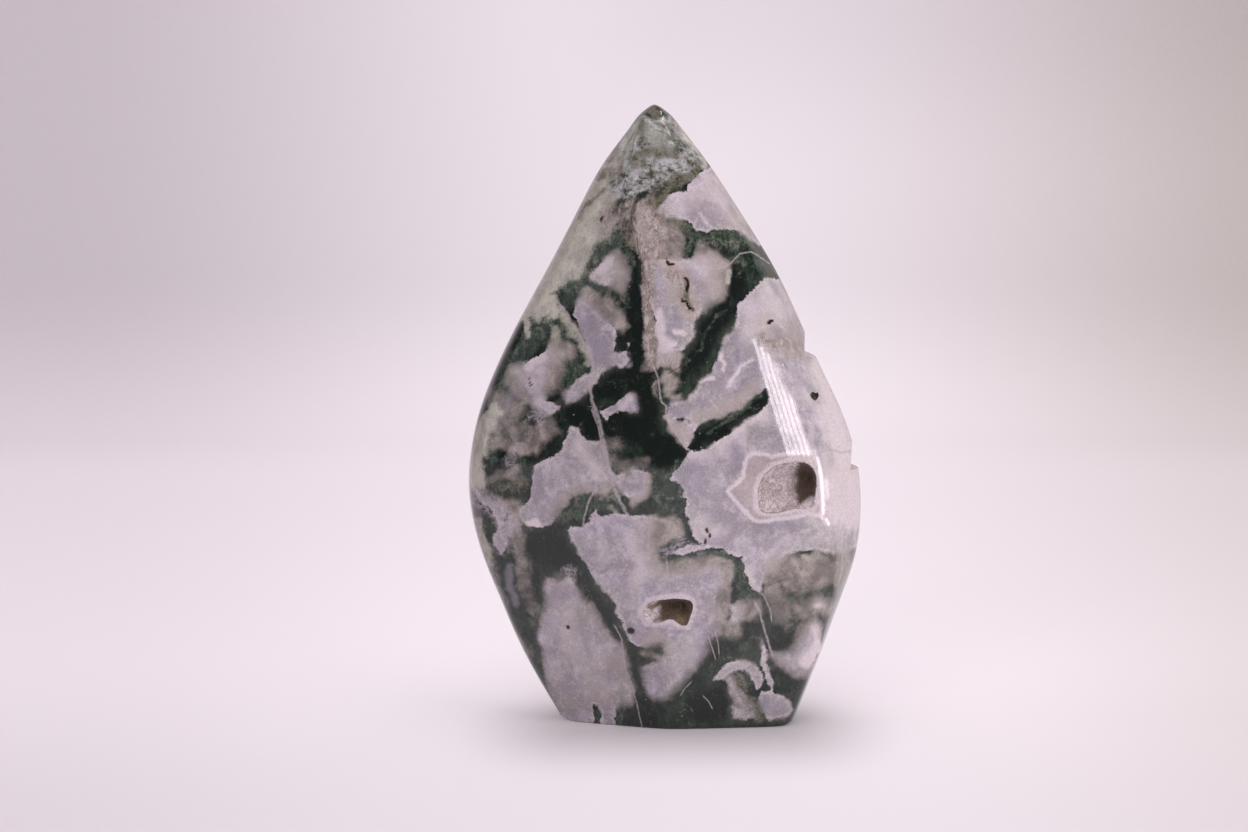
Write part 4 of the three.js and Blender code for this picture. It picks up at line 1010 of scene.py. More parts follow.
def paint_fields(mesh, half_thickness):
    """Writes the pattern onto the stone's points."""
    points = mesh_points(mesh)
    behind = np.clip((points[:, 1] / (half_thickness / MM) - BACK_STARTS) / BACK_BLEND, 0, 1)
    behind = behind * behind * (3 - 2 * behind)
    seen = wander(as_seen(points), behind)
    depth = patch_depth(seen, PALE_PATCHES)
    depth = np.minimum(depth, -patch_depth(seen, DARK_SHAPES))
    write_attribute(mesh, "pale", depth)
    rims = {}
    for name, hollow in (("upper", UPPER_HOLLOW), ("lower", LOWER_HOLLOW)):
        rim = [(hollow["x"] + x, hollow["face"], hollow["z"] + z) for x, z in hollow["outline"]]
        rims[name] = [tuple(spot) for spot in as_seen(np.array(rim))]
    write_attribute(mesh, "ring", patch_depth(seen, RINGS))
    write_attribute(mesh, "brink", -patch_depth(seen, rims))
    sway = [sum(rough(points, size, seeds[axis]) * reach for size, reach, seeds in SWAY) for axis in (0, 1)]
    sway = np.stack(sway, axis=1)
    swell = 1 + 0.4 * rough(points, 2.6, SWELL_SEED)
    for name, strokes in STROKES.items():
        write_attribute(mesh, name, stroke_field(seen + sway, swell, strokes))
    for name, lines in (("vein", PALE_LINES), ("seam", DARK_LINES)):
        side, close = line_fields(seen, lines)
        write_attribute(mesh, name, side)
        write_attribute(mesh, name + "_near", close)


class Tree:
    """Short calls that fill a node tree."""

    def __init__(self, tree):
        self.nodes = tree.nodes
        self.links = tree.links

    def put(self, socket, value):
        if isinstance(value, bpy.types.NodeSocket):
            self.links.new(value, socket)
        elif socket.type == "RGBA":
            socket.default_value = (*value[:3], 1)
        else:
            socket.default_value = value

    def node(self, kind, inputs=(), **settings):
        made = self.nodes.new(kind)
        for key, value in settings.items():
            setattr(made, key, value)
        for socket, value in dict(inputs).items():
            self.put(made.inputs[socket], value)
        return made


class Shader(Tree):
    """One material's nodes, with short calls for the kinds that this stone needs."""

    def __init__(self, name):
        self.material = bpy.data.materials.new(name)
        self.material.use_nodes = True
        super().__init__(self.material.node_tree)
        self.nodes.clear()
        self.output = self.nodes.new("ShaderNodeOutputMaterial")

    def millimetres(self, stretch=(1, 1, 1), turn=(0, 0, 0)):
        place = self.node("ShaderNodeTexCoord").outputs["Object"]
        scale = tuple(1000 * part for part in stretch)
        moved = self.node("ShaderNodeMapping", {"Vector": place, "Scale": scale, "Rotation": turn})
        return moved.outputs["Vector"]

    def field(self, name):
        return self.node("ShaderNodeAttribute", attribute_name=name).outputs["Fac"]

    def sum(self, operation, a, b=0.0, c=0.0, clamp=False):
        made = self.node("ShaderNodeMath", {0: a, 1: b, 2: c}, operation=operation, use_clamp=clamp)
        return made.outputs["Value"]

    def product(self, a, b):
        return self.sum("MULTIPLY", a, b)

    def add(self, a, b):
        return self.sum("ADD", a, b)

    def axes(self, where):
        parts = self.node("ShaderNodeSeparateXYZ", {"Vector": where})
        return [parts.outputs[axis] for axis in "XYZ"]

    def noise(self, size, where, detail=3.0, roughness=0.55, distortion=0.0):
        inputs = {"Vector": where, "Scale": 1 / size, "Detail": detail, "Roughness": roughness}
        return self.node("ShaderNodeTexNoise", {**inputs, "Distortion": distortion}).outputs["Fac"]

    def cells(self, size, where):
        made = self.node("ShaderNodeTexVoronoi", {"Vector": where, "Scale": 1 / size}, feature="F1")
        return made.outputs["Distance"]

    def step(self, value, low, high, to_low=0.0, to_high=1.0):
        inputs = {0: value, 1: low, 2: high, 3: to_low, 4: to_high}
        return self.node("ShaderNodeMapRange", inputs, interpolation_type="SMOOTHSTEP").outputs[0]

    def mix(self, share, a, b, blend="MIX"):
        made = self.node("ShaderNodeMix", data_type="RGBA", blend_type=blend)
        for socket, value in ((0, share), (6, a), (7, b)):
            self.put(made.inputs[socket], value)
        return made.outputs[2]

    def over(self, base, *layers):
        """Lays colours over a base, each as its value goes from low to high, up to its most."""
        for value, low, high, most, colour in layers:
            base = self.mix(self.step(value, low, high, 0, most), base, colour)
        return base

    def bump(self, height, strength, distance, normal=None):
        inputs = {"Height": height, "Strength": strength, "Distance": distance}
        if normal is not None:
            inputs["Normal"] = normal
        return self.node("ShaderNodeBump", inputs).outputs["Normal"]

    def finish(self, **inputs):
        surface = self.node("ShaderNodeBsdfPrincipled", {k.replace("_", " "): v for k, v in inputs.items()})
        self.links.new(surface.outputs[0], self.output.inputs[0])
        return self.material


def tone(colour, share):
    return tuple(part * share for part in colour)


def agate_colour(shader, colours):
    """The stone's colour from its pattern; also gives the cover of rose bands."""
    mix, over, step, field, noise = shader.mix, shader.over, shader.step, shader.field, shader.noise
    total, share, add = shader.sum, shader.product, shader.add
    where = shader.millimetres()
    ragged = noise(1.2, where, 5, 0.68)
    fine = noise(0.4, where, 4, 0.72)
    grain = noise(0.17, where, 2, 0.6)
    cloud = noise(4.2, where, 5, 0.6, 0.7)
    broad = noise(8, where, 3, 0.5, 0.4)
    shred = noise(2, where, 6, 0.7, 0.6)
    fibre = noise(0.9, shader.millimetres((1, 0.6, 0.42), (0, math.radians(38), 0)), 5, 0.7, 1)
    streak = noise(0.6, shader.millimetres((1, 1, 0.3)), 5, 0.7, 0.5)

    def dye(name, strength):
        return tone(getattr(colours, name), strength)

    def around(value, at_low, at_high, spread=0.15):
        return step(value, 0.5 - spread, 0.5 + spread, at_low, at_high)

    def swing(value, amount):
        return total("MULTIPLY_ADD", value, amount, -amount / 2)

    def off_middle(value):
        return total("ABSOLUTE", add(value, -0.5))

    def torn(name, amount=1.0, low=0.22, high=0.78, finely=0.6):
        return step(add(field(name), add(swing(shred, amount), swing(fine, finely))), low, high)

    # Where pale agate lies, with a ragged edge that is soft in places
    depth = add(field("pale"), add(swing(ragged, 1.5), swing(fine, 0.9)))
    soft = add(share(step(broad, 0.5, 0.66), 0.3), field("soft"))
    soft = total("MULTIPLY_ADD", field("smoke"), 0.9, soft, clamp=True)
    blur = total("MULTIPLY_ADD", soft, 1.15, 0.09)
    cover = step(depth, share(blur, -1.2), blur)
    bare = total("SUBTRACT", 1, cover)

    # Ground: dark moss with green threads, then the clear and cloudy places
    ground = mix(step(fibre, 0.44, 0.7), colours.dark, dye("moss", 0.5))
    ground = mix(share(around(broad, 0, 1), around(shred, 0.1, 0.75)), ground, dye("moss", 0.55))
    ground = mix(share(step(cloud, 0.46, 0.72), around(fine, 0.1, 0.7)), ground, dye("moss", 0.78))
    ground = mix(share(torn("night", 0.8), 0.95), ground, colours.dark)
    mossy = share(torn("moss", 1.5), step(fibre, 0.36, 0.56, 0.25, 1))
    ground = mix(mossy, ground, mix(around(fine, 0, 1), dye("moss", 0.4), dye("moss", 1.05)))
    ground = mix(share(share(mossy, step(shred, 0.5, 0.64)), 0.5), ground, dye("sage", 0.32))
    smoky = over(
        mix(around(cloud, 0, 1), dye("smoke", 0.55), dye("smoke", 1.3)),
        (fibre, 0.46, 0.66, 0.35, dye("umber", 1.1)),
        (fine, 0.5, 0.68, 0.4, dye("moss", 0.9)),
    )
    ground = mix(share(step(depth, -1.6, -0.1, 0, 0.6), soft), ground, dye("smoke", 0.62))
    smoke = torn("smoke", 1, 0.05, 0.95, 0.3)
    ground = mix(smoke, ground, smoky)
    ground = mix(share(torn("veil", 0.6, 0, 0.9, 0.1), 0.7), ground, dye("haze", 0.95))
    sagey = over(
        mix(around(cloud, 0, 1), dye("sage", 0.82), dye("sage", 1.2)),
        (fine, 0.52, 0.7, 0.35, dye("moss", 1.6)),
        (streak, 0.5, 0.66, 0.4, dye("haze", 0.8)),
    )
    ground = mix(torn("sage", 0.9, 0.1, 0.8), ground, sagey)

    # Pale agate with its clouds
    milk = mix(around(cloud, 0, 1, 0.12), dye("pale", 0.78), dye("pale", 1.26))
    milk = over(
        mix(around(broad, 0, 0.5), milk, dye("sage", 0.82)),
        (shred, 0.5, 0.64, 0.6, dye("haze", 0.95)),
        (shred, 0.46, 0.32, 0.5, dye("bright", 0.82)),
        (ragged, 0.52, 0.7, 0.45, dye("bright", 0.9)),
        (fine, 0.52, 0.68, 0.3, dye("haze", 0.85)),
        (fine, 0.46, 0.32, 0.25, colours.bright),
    )
    mottled = share(step(depth, 2.4, 0.4), step(fine, 0.5, 0.62, 0, 0.4))
    milk = mix(share(mottled, around(broad, 0.2, 1)), milk, MOTTLE)
    rim = share(step(depth, 0.7, 0.1), around(fine, 0.7, 0.1))
    milk = mix(share(rim, total("SUBTRACT", 1, soft)), milk, dye("bright", 0.95))
    milk = mix(share(torn("tan", 1.2, 0.1, 0.9), 0.6), milk, TAN)
    milk = mix(share(torn("haze", 1.2, 0.1, 0.9), 0.75), milk, colours.haze)
    milk = mix(share(smoke, 0.7), milk, dye("smoke", 1.25))
    dusty = mix(around(streak, 0, 1, 0.12), dye("rose", 0.45), colours.rose)
    rosy = over(
        mix(around(shred, 0, 0.8), dusty, dye("smoke", 1.2)),
        (ragged, 0.5, 0.64, 0.6, dye("sage", 1.15)),
        (fine, 0.54, 0.64, 0.45, dye("umber", 1.2)),
    )
    crease = step(off_middle(streak), 0.035, 0.008)
    rosy = mix(share(crease, around(shred, 0.9, 0.2)), rosy, dye("umber", 0.8))
    rose = torn("rose", 1.3, 0.2, 0.8)
    milk = mix(share(rose, 0.85), milk, rosy)
    # Whiter places, partly painted light: a brighter right side and a painted sheen beside the window's
    # reflection
    milk = mix(share(torn("glow", 1, 0.1, 0.95), around(fine, 0.9, 0.65)), milk, colours.bright)

    # Bands round the hollows: a pale line, a dusty band inside it and a pale, grainy rim
    wavy = swing(ragged, 1.2)
    band = add(field("ring"), wavy)
    milk = mix(share(step(band, 0, 0.7), step(fine, 0.3, 0.6, 0.75, 0.45)), milk, dye("rose", 0.92))
    milk = mix(share(step(total("ABSOLUTE", band), 0.6, 0.1), 0.7), milk, colours.bright)
    brink = step(add(field("brink"), wavy), 1.1, 0.4)
    milk = mix(share(brink, around(fine, 0.9, 0.5)), milk, dye("bright", 0.92))
    colour = mix(cover, ground, milk)
    colour = mix(share(rose, bare), colour, rosy)

    # Lacy white threads
    misty = step(add(field("lace"), add(cloud, -0.5)), 0.2, 0.8)
    lace = share(share(step(off_middle(shred), 0.05, 0.012), misty), around(fine, 0.9, 0.35))
    colour = mix(lace, colour, dye("bright", 0.72))
    colour = mix(share(misty, around(ragged, 0.5, 0)), colour, colours.haze)

    # The tip's crumbly speckle, brown bands, veins and seams
    crumb = add(add(ragged, swing(shred, 1.1)), swing(fine, 0.5))
    crumbs = over(
        mix(step(crumb, 0.36, 0.46), CRUMB_DARK, CRUMB_GREY),
        (crumb, 0.46, 0.72, 1, CRUMB_PALE),
        (fine, 0.47, 0.4, 0.45, CRUMB_OLIVE),
    )
    colour = mix(torn("speckle", 0.8, 0.1, 0.8), colour, crumbs)
    browned = mix(around(fine, 0, 1, 0.1), dye("umber", 0.45), dye("umber", 1.5))
    browned = mix(around(ragged, 0, 0.8), browned, dye("sage", 0.34))
    colour = mix(share(torn("umber", 1.4, 0.15, 0.85), 0.9), colour, browned)
    for name, line_colour, strength in (("vein", dye("bright", 0.62), 0.7), ("seam", dye("umber", 0.5), 0.8)):
        side = total("ABSOLUTE", add(field(name), swing(ragged, 3)))
        line = share(step(side, 1.5, 0.3), field(name + "_near"))
        line = share(line, step(fine, 0.3, 0.55, 0.35, 1))
        colour = mix(share(line, strength), colour, line_colour)
    slit = add(field("slit"), swing(fine, 0.9))
    colour = over(colour, (slit, 0.1, 0.5, 0.6, dye("umber", 0.9)), (slit, 0.38, 0.62, 0.97, SLIT_DARK))
    fleck = share(step(shader.cells(1.9, where), 0.09, 0.04), bare)
    colour = mix(share(fleck, step(cloud, 0.48, 0.58)), colour, colours.haze)
    colour = mix(1, colour, around(grain, 0.86, 1.14, 0.2), "MULTIPLY")
    # Painted shade inside the bubbles' dents
    colour = over(colour, (field("crack"), 0.3, 0.7, 0.95, BUBBLE_SHADE))
    return colour, rose


def polished_agate(colours):
    shader = Shader("polished_agate")
    colour, rose = agate_colour(shader, colours)
    where = shader.millimetres()
    wavy = shader.noise(5, where, 2, 0.4)
    grain = shader.noise(0.16, where, 2)
    pores = shader.product(rose, shader.step(shader.cells(0.9, where), 0.16, 0.05))
    crumb = shader.product(shader.noise(0.35, where, 2), shader.field("speckle"))
    roughness = shader.sum("MULTIPLY_ADD", grain, 0.04, 0.03)
    roughness = shader.sum("MULTIPLY_ADD", pores, 0.3, roughness)
    roughness = shader.sum("MULTIPLY_ADD", shader.field("crack"), 0.9, roughness, clamp=True)
    normal = shader.bump(wavy, 0.15, 0.0001)
    normal = shader.bump(pores, 0.6, -0.00006, normal)
    normal = shader.bump(crumb, 0.1, 0.00001, normal)
    return shader.finish(
        Base_Color=colour,
        Roughness=roughness,
        Normal=normal,
        IOR=QUARTZ_IOR,
        Specular_IOR_Level=0.5,
        Subsurface_Weight=0.12,
        Subsurface_Radius=(1.0, 0.8, 0.75),
        Subsurface_Scale=0.0009,
    )


def raw_agate(name, low, high):
    """Unpolished stone, for the hollows' walls and for the chips."""
    shader = Shader(name)
    where = shader.millimetres()
    grain = shader.noise(0.5, where, 4, 0.65)
    crumb = shader.noise(0.2, where, 3, 0.6)
    colour = shader.mix(shader.step(grain, 0.38, 0.62), low, high)
    normal = shader.bump(grain, 0.8, 0.00012)
    normal = shader.bump(crumb, 0.7, 0.00005, normal)
    roughness = shader.sum("MULTIPLY_ADD", crumb, 0.3, 0.4)
    return shader.finish(Base_Color=colour, Roughness=roughness, Normal=normal, IOR=QUARTZ_IOR)


class AGATE_OT_stone(bpy.types.Operator):
    """Makes the polished stone with its hollows, chips and pattern"""

    bl_idname = "agate.stone"
    bl_label = "Polished stone"

    def execute(self, context):
        sizes = context.scene.stone_sizes
        colours = context.scene.agate_colours
        curves = [smooth_curve(UP, values) for values in (LEFT, RIGHT, DEPTH, RIDGE, BEVEL)]
        height = sizes.height / MM
        tip = sizes.tip_radius / MM
        edge = sizes.base_edge / MM
        spacing = sizes.spacing / MM
        angles = np.linspace(0, 2 * np.pi, SECTION_ANGLES, endpoint=False)
        rows = int((height - tip - edge) / spacing)
        heights = [edge * (1 - math.cos(i / EDGE_ROWS * math.pi / 2)) for i in range(EDGE_ROWS)]
        heights += np.linspace(edge, height - tip, rows + 1).tolist()
        heights += [height - tip + tip * math.sin(i / TIP_ROWS * math.pi / 2) for i in range(1, TIP_ROWS)]
        count = int(GIRTH / spacing)
        rings = []
        for z in heights:
            ring = ring_along(stone_section(z, sizes, curves, angles), count)
            rings.append(np.column_stack([ring, np.full(count, z)]))
        top_x = (curves[1](1) - curves[0](1)) / 2 * sizes.half_width / MM
        points, faces = skin(rings, (0, 0, 0), (top_x, 0, height))
        stone = mesh_piece("polished_stone", points, faces)
        blocks = []
        for hollow, steps, depth_rows, wall in (
            (UPPER_HOLLOW, HOLLOW_STEPS, HOLLOW_ROWS, 1),
            (LOWER_HOLLOW, HOLLOW_STEPS, HOLLOW_ROWS, 1),
            (EDGE_PIT, 40, 8, 3),
        ):
            blocks.append((*hollow_cutter(hollow, steps, depth_rows), wall))
        for chip in (UPPER_CHIP, LOWER_CHIP):
            blocks.append((chip_cutter(chip, sizes.half_width / MM), None, 2))
        cutter = cutter_piece("hollow_cutter", blocks)
        materials = [
            polished_agate(colours),
            raw_agate("hollow_wall", (0.44, 0.38, 0.38), (0.66, 0.58, 0.6)),
            raw_agate("chipped_agate", tone(colours.rose, 0.85), tone(colours.bright, 0.95)),
            # Walls of the edge pit, painted near-black as shade
            raw_agate("pit_wall", (0.02, 0.015, 0.012), (0.07, 0.05, 0.04)),
        ]
        for material in materials:
            stone.data.materials.append(material)
            cutter.data.materials.append(material)
        cut = stone.modifiers.new("cut", "BOOLEAN")
        cut.object = cutter
        cut.operation = "DIFFERENCE"
        cut.solver = "EXACT"
        stone = baked(stone, "polished_stone")
        bpy.data.objects.remove(cutter)
        if len(stone.data.polygons) < 1000:
            raise RuntimeError("the hollows could not be cut into the stone")
        sink_bubbles(stone.data)
        paint_fields(stone.data, sizes.half_thickness)
        stone.data.polygons.foreach_set("use_smooth", [True] * len(stone.data.polygons))
        stone.data.set_sharp_from_angle(angle=math.radians(SHARP_ANGLE))
        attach(stone, "root")
        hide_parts("flame_stone")
        return {"FINISHED"}


def crystal_tree(material):
    """Geometry Nodes that stand small quartz points all over the marked side of a bowl."""
    group = bpy.data.node_groups.new("quartz_crust", "GeometryNodeTree")
    face = group.interface
    face.new_socket("Bowl", in_out="INPUT", socket_type="NodeSocketGeometry")
    for label, kind, value in (
        ("Crystal width", "NodeSocketFloat", 0.0005),
        ("Spacing", "NodeSocketFloat", 0.0003),
        ("Seed", "NodeSocketInt", 0),
    ):
        face.new_socket(label, in_out="INPUT", socket_type=kind).default_value = value
    face.new_socket("Crust", in_out="OUTPUT", socket_type="NodeSocketGeometry")
    tree = Tree(group)
    given = tree.node("NodeGroupInput").outputs
    marked = tree.node("GeometryNodeInputNamedAttribute", {"Name": "open_side"}, data_type="FLOAT")
    spread = {
        "Mesh": given["Bowl"],
        "Distance Min": given["Spacing"],
        "Density Max": 3e7,
        "Density Factor": marked.outputs["Attribute"],
        "Seed": given["Seed"],
    }
    scatter = tree.node("GeometryNodeDistributePointsOnFaces", spread, distribute_method="POISSON").outputs

    # One crystal, as wide as a unit: a six-sided prism with a point on it
    sides = {"Vertices": 6, "Radius": 0.5, "Depth": 0.6}
    prism = tree.node("GeometryNodeMeshCylinder", sides, fill_type="NONE")
    sides = {"Vertices": 6, "Radius Top": 0.0, "Radius Bottom": 0.5, "Depth": 0.45}
    point = tree.node("GeometryNodeMeshCone", sides, fill_type="NONE")
    lift = {"Geometry": point.outputs["Mesh"], "Translation": (0, 0, 0.3)}
    lifted = tree.node("GeometryNodeTransform", lift)
    crystal = tree.node("GeometryNodeJoinGeometry")
    tree.put(crystal.inputs["Geometry"], prism.outputs["Mesh"])
    tree.put(crystal.inputs["Geometry"], lifted.outputs["Geometry"])
    smooth = {"Geometry": crystal.outputs["Geometry"], "Shade Smooth": False}
    flat = tree.node("GeometryNodeSetShadeSmooth", smooth)

    # Each one leans and turns a little, and has its own width
    tilts = {0: (-CRYSTAL_LEAN, -CRYSTAL_LEAN, 0), 1: (CRYSTAL_LEAN, CRYSTAL_LEAN, 6.28), "Seed": given["Seed"]}
    tilt = tree.node("FunctionNodeRandomValue", tilts, data_type="FLOAT_VECTOR")
    as_turn = tree.node("FunctionNodeEulerToRotation", {"Euler": tilt.outputs["Value"]})
    turns = {"Rotation": scatter["Rotation"], "Rotate By": as_turn.outputs["Rotation"]}
    turned = tree.node("FunctionNodeRotateRotation", turns, rotation_space="LOCAL")
    shares = {2: 0.45, 3: 1, "Seed": given["Seed"]}
    share = tree.node("FunctionNodeRandomValue", shares, data_type="FLOAT")
    widths = {0: share.outputs[1], 1: given["Crystal width"]}
    width = tree.node("ShaderNodeMath", widths, operation="MULTIPLY")
    stands = {
        "Points": scatter["Points"],
        "Instance": flat.outputs["Geometry"],
        "Rotation": turned.outputs["Rotation"],
        "Scale": width.outputs["Value"],
    }
    place = tree.node("GeometryNodeInstanceOnPoints", stands)
    whole = tree.node("GeometryNodeJoinGeometry")
    tree.put(whole.inputs["Geometry"], given["Bowl"])
    tree.put(whole.inputs["Geometry"], place.outputs["Instances"])
    real = tree.node("GeometryNodeRealizeInstances", {"Geometry": whole.outputs["Geometry"]})
    coat = {"Geometry": real.outputs["Geometry"], "Material": material}
    coated = tree.node("GeometryNodeSetMaterial", coat)
    tree.node("NodeGroupOutput", {"Crust": coated.outputs["Geometry"]})
    return group


def druse_material(name, colour, hollow):
    """Sugary quartz with painted shade: dark brown in the shaded corner of its hollow, deeper in and under the
    rim; brown stains lie in patches.
    """
    shader = Shader(name + "_quartz")
    mix, step, product = shader.mix, shader.step, shader.product
    where = shader.millimetres()
    grain = shader.noise(0.6, where, 3)
    patch = shader.noise(2.2, where, 2)
    lit = mix(step(grain, 0.35, 0.65), tone(colour, 0.72), tone(colour, 1.15))
    lit = shader.over(lit, (patch, 0.46, 0.64, hollow["stain"], DRUSE_BROWN))
    x, y, z = shader.axes(where)
    # Painted shadow: the hollow's shaded corner, right of its left edge and above a rising ledge, and painted
    # shade that grows deeper in
    left, lowest, rising = hollow["painted_shadow_corner"]
    across = shader.sum("MULTIPLY_ADD", patch, 1.2, shader.sum("MULTIPLY_ADD", grain, 1.4, x))
    ledge = shader.sum("MULTIPLY_ADD", x, -rising, shader.sum("MULTIPLY_ADD", grain, 0.8, z))
    low = lowest - rising * left
    dark = product(step(across, left + 1.2, left + 2.2), step(ledge, low, low + 0.8))
    deep = shader.sum("MAXIMUM", product(dark, 0.97), step(y, -10.4, -7, 0, 0.5))
    # Colour of the painted shadow, darker higher up under the rim
    dim = mix(step(patch, 0.4, 0.62), (0.1, 0.067, 0.045), (0.2, 0.14, 0.09))
    dim = shader.over(dim, (z, low + 2.4, low + 4.6, 0.8, (0.045, 0.03, 0.021)))
    fine = shader.noise(0.12, where, 2)
    return shader.finish(
        Base_Color=mix(deep, lit, dim),
        Roughness=shader.sum("MULTIPLY_ADD", fine, 0.3, 0.28),
        Normal=shader.bump(fine, 0.3, 0.00002),
        IOR=QUARTZ_IOR,
        Subsurface_Weight=0.4,
        Subsurface_Radius=(1.0, 0.85, 0.8),
        Subsurface_Scale=0.0005,
    )


def crystal_bowl(name, hollow):
    """A thin bowl that lines a hollow, with its open side marked for the crystals."""
    outline = closed_outline(hollow["outline"], HOLLOW_STEPS)
    downs = np.linspace(BRINK_DOWN, 0.985, HOLLOW_ROWS)
    inset = CRUST_GAP + CRUST_THICKNESS
    rings = [hollow_wall(hollow, outline, down, inset) for down in downs[::-1]]
    rings += [hollow_wall(hollow, outline, down, CRUST_GAP) for down in downs]
    ends = [hollow_wall(hollow, outline, 0.995, gap).mean(axis=0) for gap in (inset, CRUST_GAP)]
    points, faces = skin(rings, *ends)
    bowl = mesh_piece(name, points, faces)
    inner = np.zeros(len(points))
    inner[: HOLLOW_STEPS * HOLLOW_ROWS] = 1
    inner[-2] = 1
    write_attribute(bowl.data, "open_side", inner)
    return bowl


class AGATE_OT_druse(bpy.types.Operator):
    """Lines both hollows with small quartz crystals"""

    bl_idname = "agate.druse"
    bl_label = "Crystal crusts"

    def execute(self, context):
        settings = context.scene.druse_settings
        for name, node, hollow, seed in (
            ("upper_druse", "upper_crystal_crust", UPPER_HOLLOW, 1),
            ("lower_druse", "lower_crystal_crust", LOWER_HOLLOW, 2),
        ):
            tree = crystal_tree(druse_material(name, tuple(settings.colour), hollow))
            inputs = [item for item in tree.interface.items_tree if item.in_out == "INPUT"]
            ports = {item.name: item.identifier for item in inputs}
            bowl = crystal_bowl(name + "_bowl", hollow)
            grow = bowl.modifiers.new("crystals", "NODES")
            grow.node_group = tree
            grow[ports["Crystal width"]] = settings.crystal
            grow[ports["Spacing"]] = settings.spacing
            grow[ports["Seed"]] = settings.seed + seed
            piece = baked(bowl, name)
            if len(piece.data.polygons) < 5000:
                raise RuntimeError("the crystals did not grow on " + name)
            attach(piece, "root")
            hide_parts(node)
        return {"FINISHED"}


def paper_material(colour):
    """Smooth paper that is palest where floor and backdrop meet; its shade is painted: darker at the front, up
    the wall, towards both sides and high up, with a painted contact shadow round the stone's foot.
    """
    shader = Shader("backdrop_paper")
    mix, step, total, product, add = shader.mix, shader.step, shader.sum, shader.product, shader.add
    where = shader.millimetres()
    x, y, z = shader.axes(where)
    fan = total("DIVIDE", add(x, -10), add(total("ABSOLUTE", y), 560))
    fibre = shader.noise(1.4, where, 4)
    # Painted shade: the paper darkens towards the front and up the wall
    base = mix(step(y, -110, 60), tone(colour, 0.82), colour)
    base = mix(step(z, 1, 40), base, tone(colour, 0.83))
    # Painted shade: darker towards both sides, most on the backdrop
    for side, nearer, shade in ((0.22, 0.6, (0.57, 0.545, 0.5)), (-0.19, 0.45, (0.71, 0.69, 0.7))):
        base = mix(product(step(fan, 0, side), step(y, 260, 430, nearer, 1)), base, shade, "MULTIPLY")
    # Painted shade high up on the wall
    high = product(step(z, 60, 125, 0, 0.5), step(fan, -0.05, 0.01))
    base = mix(high, base, (0.78, 0.77, 0.79), "MULTIPLY")
    # A painted contact shadow round the stone's foot
    aside = total("MAXIMUM", add(total("ABSOLUTE", add(x, -2)), -16), 0)
    ahead = total("MULTIPLY_ADD", y, 0.6, 7.2)
    far = total("SQRT", add(product(aside, aside), product(ahead, ahead)))
    base = mix(step(far, -4, 22, 0.46, 0), base, (0.12, 0.105, 0.11))
    base = shader.over(base, (fibre, 0.3, 0.7, 0.04, tone(colour, 0.85)))
    normal = shader.bump(fibre, 0.05, 0.0001)
    return shader.finish(Base_Color=base, Roughness=0.75, Normal=normal, Specular_IOR_Level=0.2)


def glowing(name, colour, strength):
    shader = Shader(name)
    light = shader.node("ShaderNodeEmission", {"Color": colour, "Strength": strength})
    shader.links.new(light.outputs[0], shader.output.inputs[0])
    return shader.material


def mirrored_grid(name, material, stations, pitch, filled, far, seed=None, slant=0.0):
    """Cells of light, each where the polish mirrors it into its own cell of the picture."""
    stone = bpy.data.objects["polished_stone"]
    mesh = stone.data
    tree = BVHTree.FromObject(stone, bpy.context.evaluated_depsgraph_get())
    eye = EYE * MM
    rng = np.random.default_rng(seed)
    points = []
    faces = []

    def mirror(x, z):
        way = (Vector((x, 0, z)) * MM - eye).normalized()
        place, flat, face, _ = tree.ray_cast(eye, way)
        corners = mesh.polygons[face].vertices
        weights = poly_3d_calc([mesh.vertices[i].co for i in corners], place)
        normal = sum((mesh.vertices[i].normal * weight for i, weight in zip(corners, weights)), Vector())
        return tuple((place + way.reflect(normal.normalized()) * far) / MM)

    for rows in stations.values():
        heights, lefts, rights = (np.array(part)[::-1] for part in zip(*rows))
        z = heights[-1]
        while z > heights[0] + pitch[1] * 0.4:
            low = max(z - pitch[1] * filled[1], heights[0])
            middle = (z + low) / 2
            wide = np.interp(middle, heights, rights) - np.interp(middle, heights, lefts)
            for i in range(max(1, round(wide / pitch[0]))):
                lift, luck = (0, 1) if seed is None else rng.random(2)
                if luck < MISSING_CELLS:
                    continue
                start = len(points)
                for share, level in ((i, low), (i + filled[0], low), (i + filled[0], z), (i, z)):
                    at = max(level - i * slant - lift * pitch[1], heights[0])
                    points.append(mirror(np.interp(at, heights, lefts) + share * pitch[0], at))
                faces.append([start, start + 1, start + 2, start + 3])
            z -= pitch[1]
    reflection_only(mesh_piece(name, points, faces, smooth=False), material)


def reflected_wall(name, material, middle, width, height):
    """A plain panel that faces the stone and shows only as a reflection in the polish."""
    middle = Vector(middle)
    ahead = (Vector(STONE_MIDDLE) - middle).normalized()
    right = ahead.cross(Vector((0, 0, 1))).normalized() * width / 2
    up = right.cross(ahead).normalized() * height / 2
    corners = (middle - right - up, middle + right - up, middle + right + up, middle - right + up)
    panel = mesh_piece(name, [tuple(corner) for corner in corners], [[0, 1, 2, 3]], smooth=False)
    reflection_only(panel, material)


def reflection_only(panel, material):
    """Makes a panel of light show in the polish alone; it is no part of the stone."""
    panel.data.materials.append(material)
    panel.visible_camera = False
    panel.visible_diffuse = False
    panel.visible_shadow = False
    panel.visible_transmission = False


def soft_light(name, place, target, size, power, colour, shadow=True):
    lamp = bpy.data.lights.new(name, "AREA")
    lamp.shape = "RECTANGLE"
    lamp.size, lamp.size_y = size
    lamp.energy = power
    lamp.color = colour
    lamp.use_shadow = shadow
    light = placed(name, lamp)
    light.location = place
    light.rotation_euler = (Vector(target) - Vector(place)).to_track_quat("-Z", "Y").to_euler()
    light.visible_glossy = False
    light.visible_camera = False


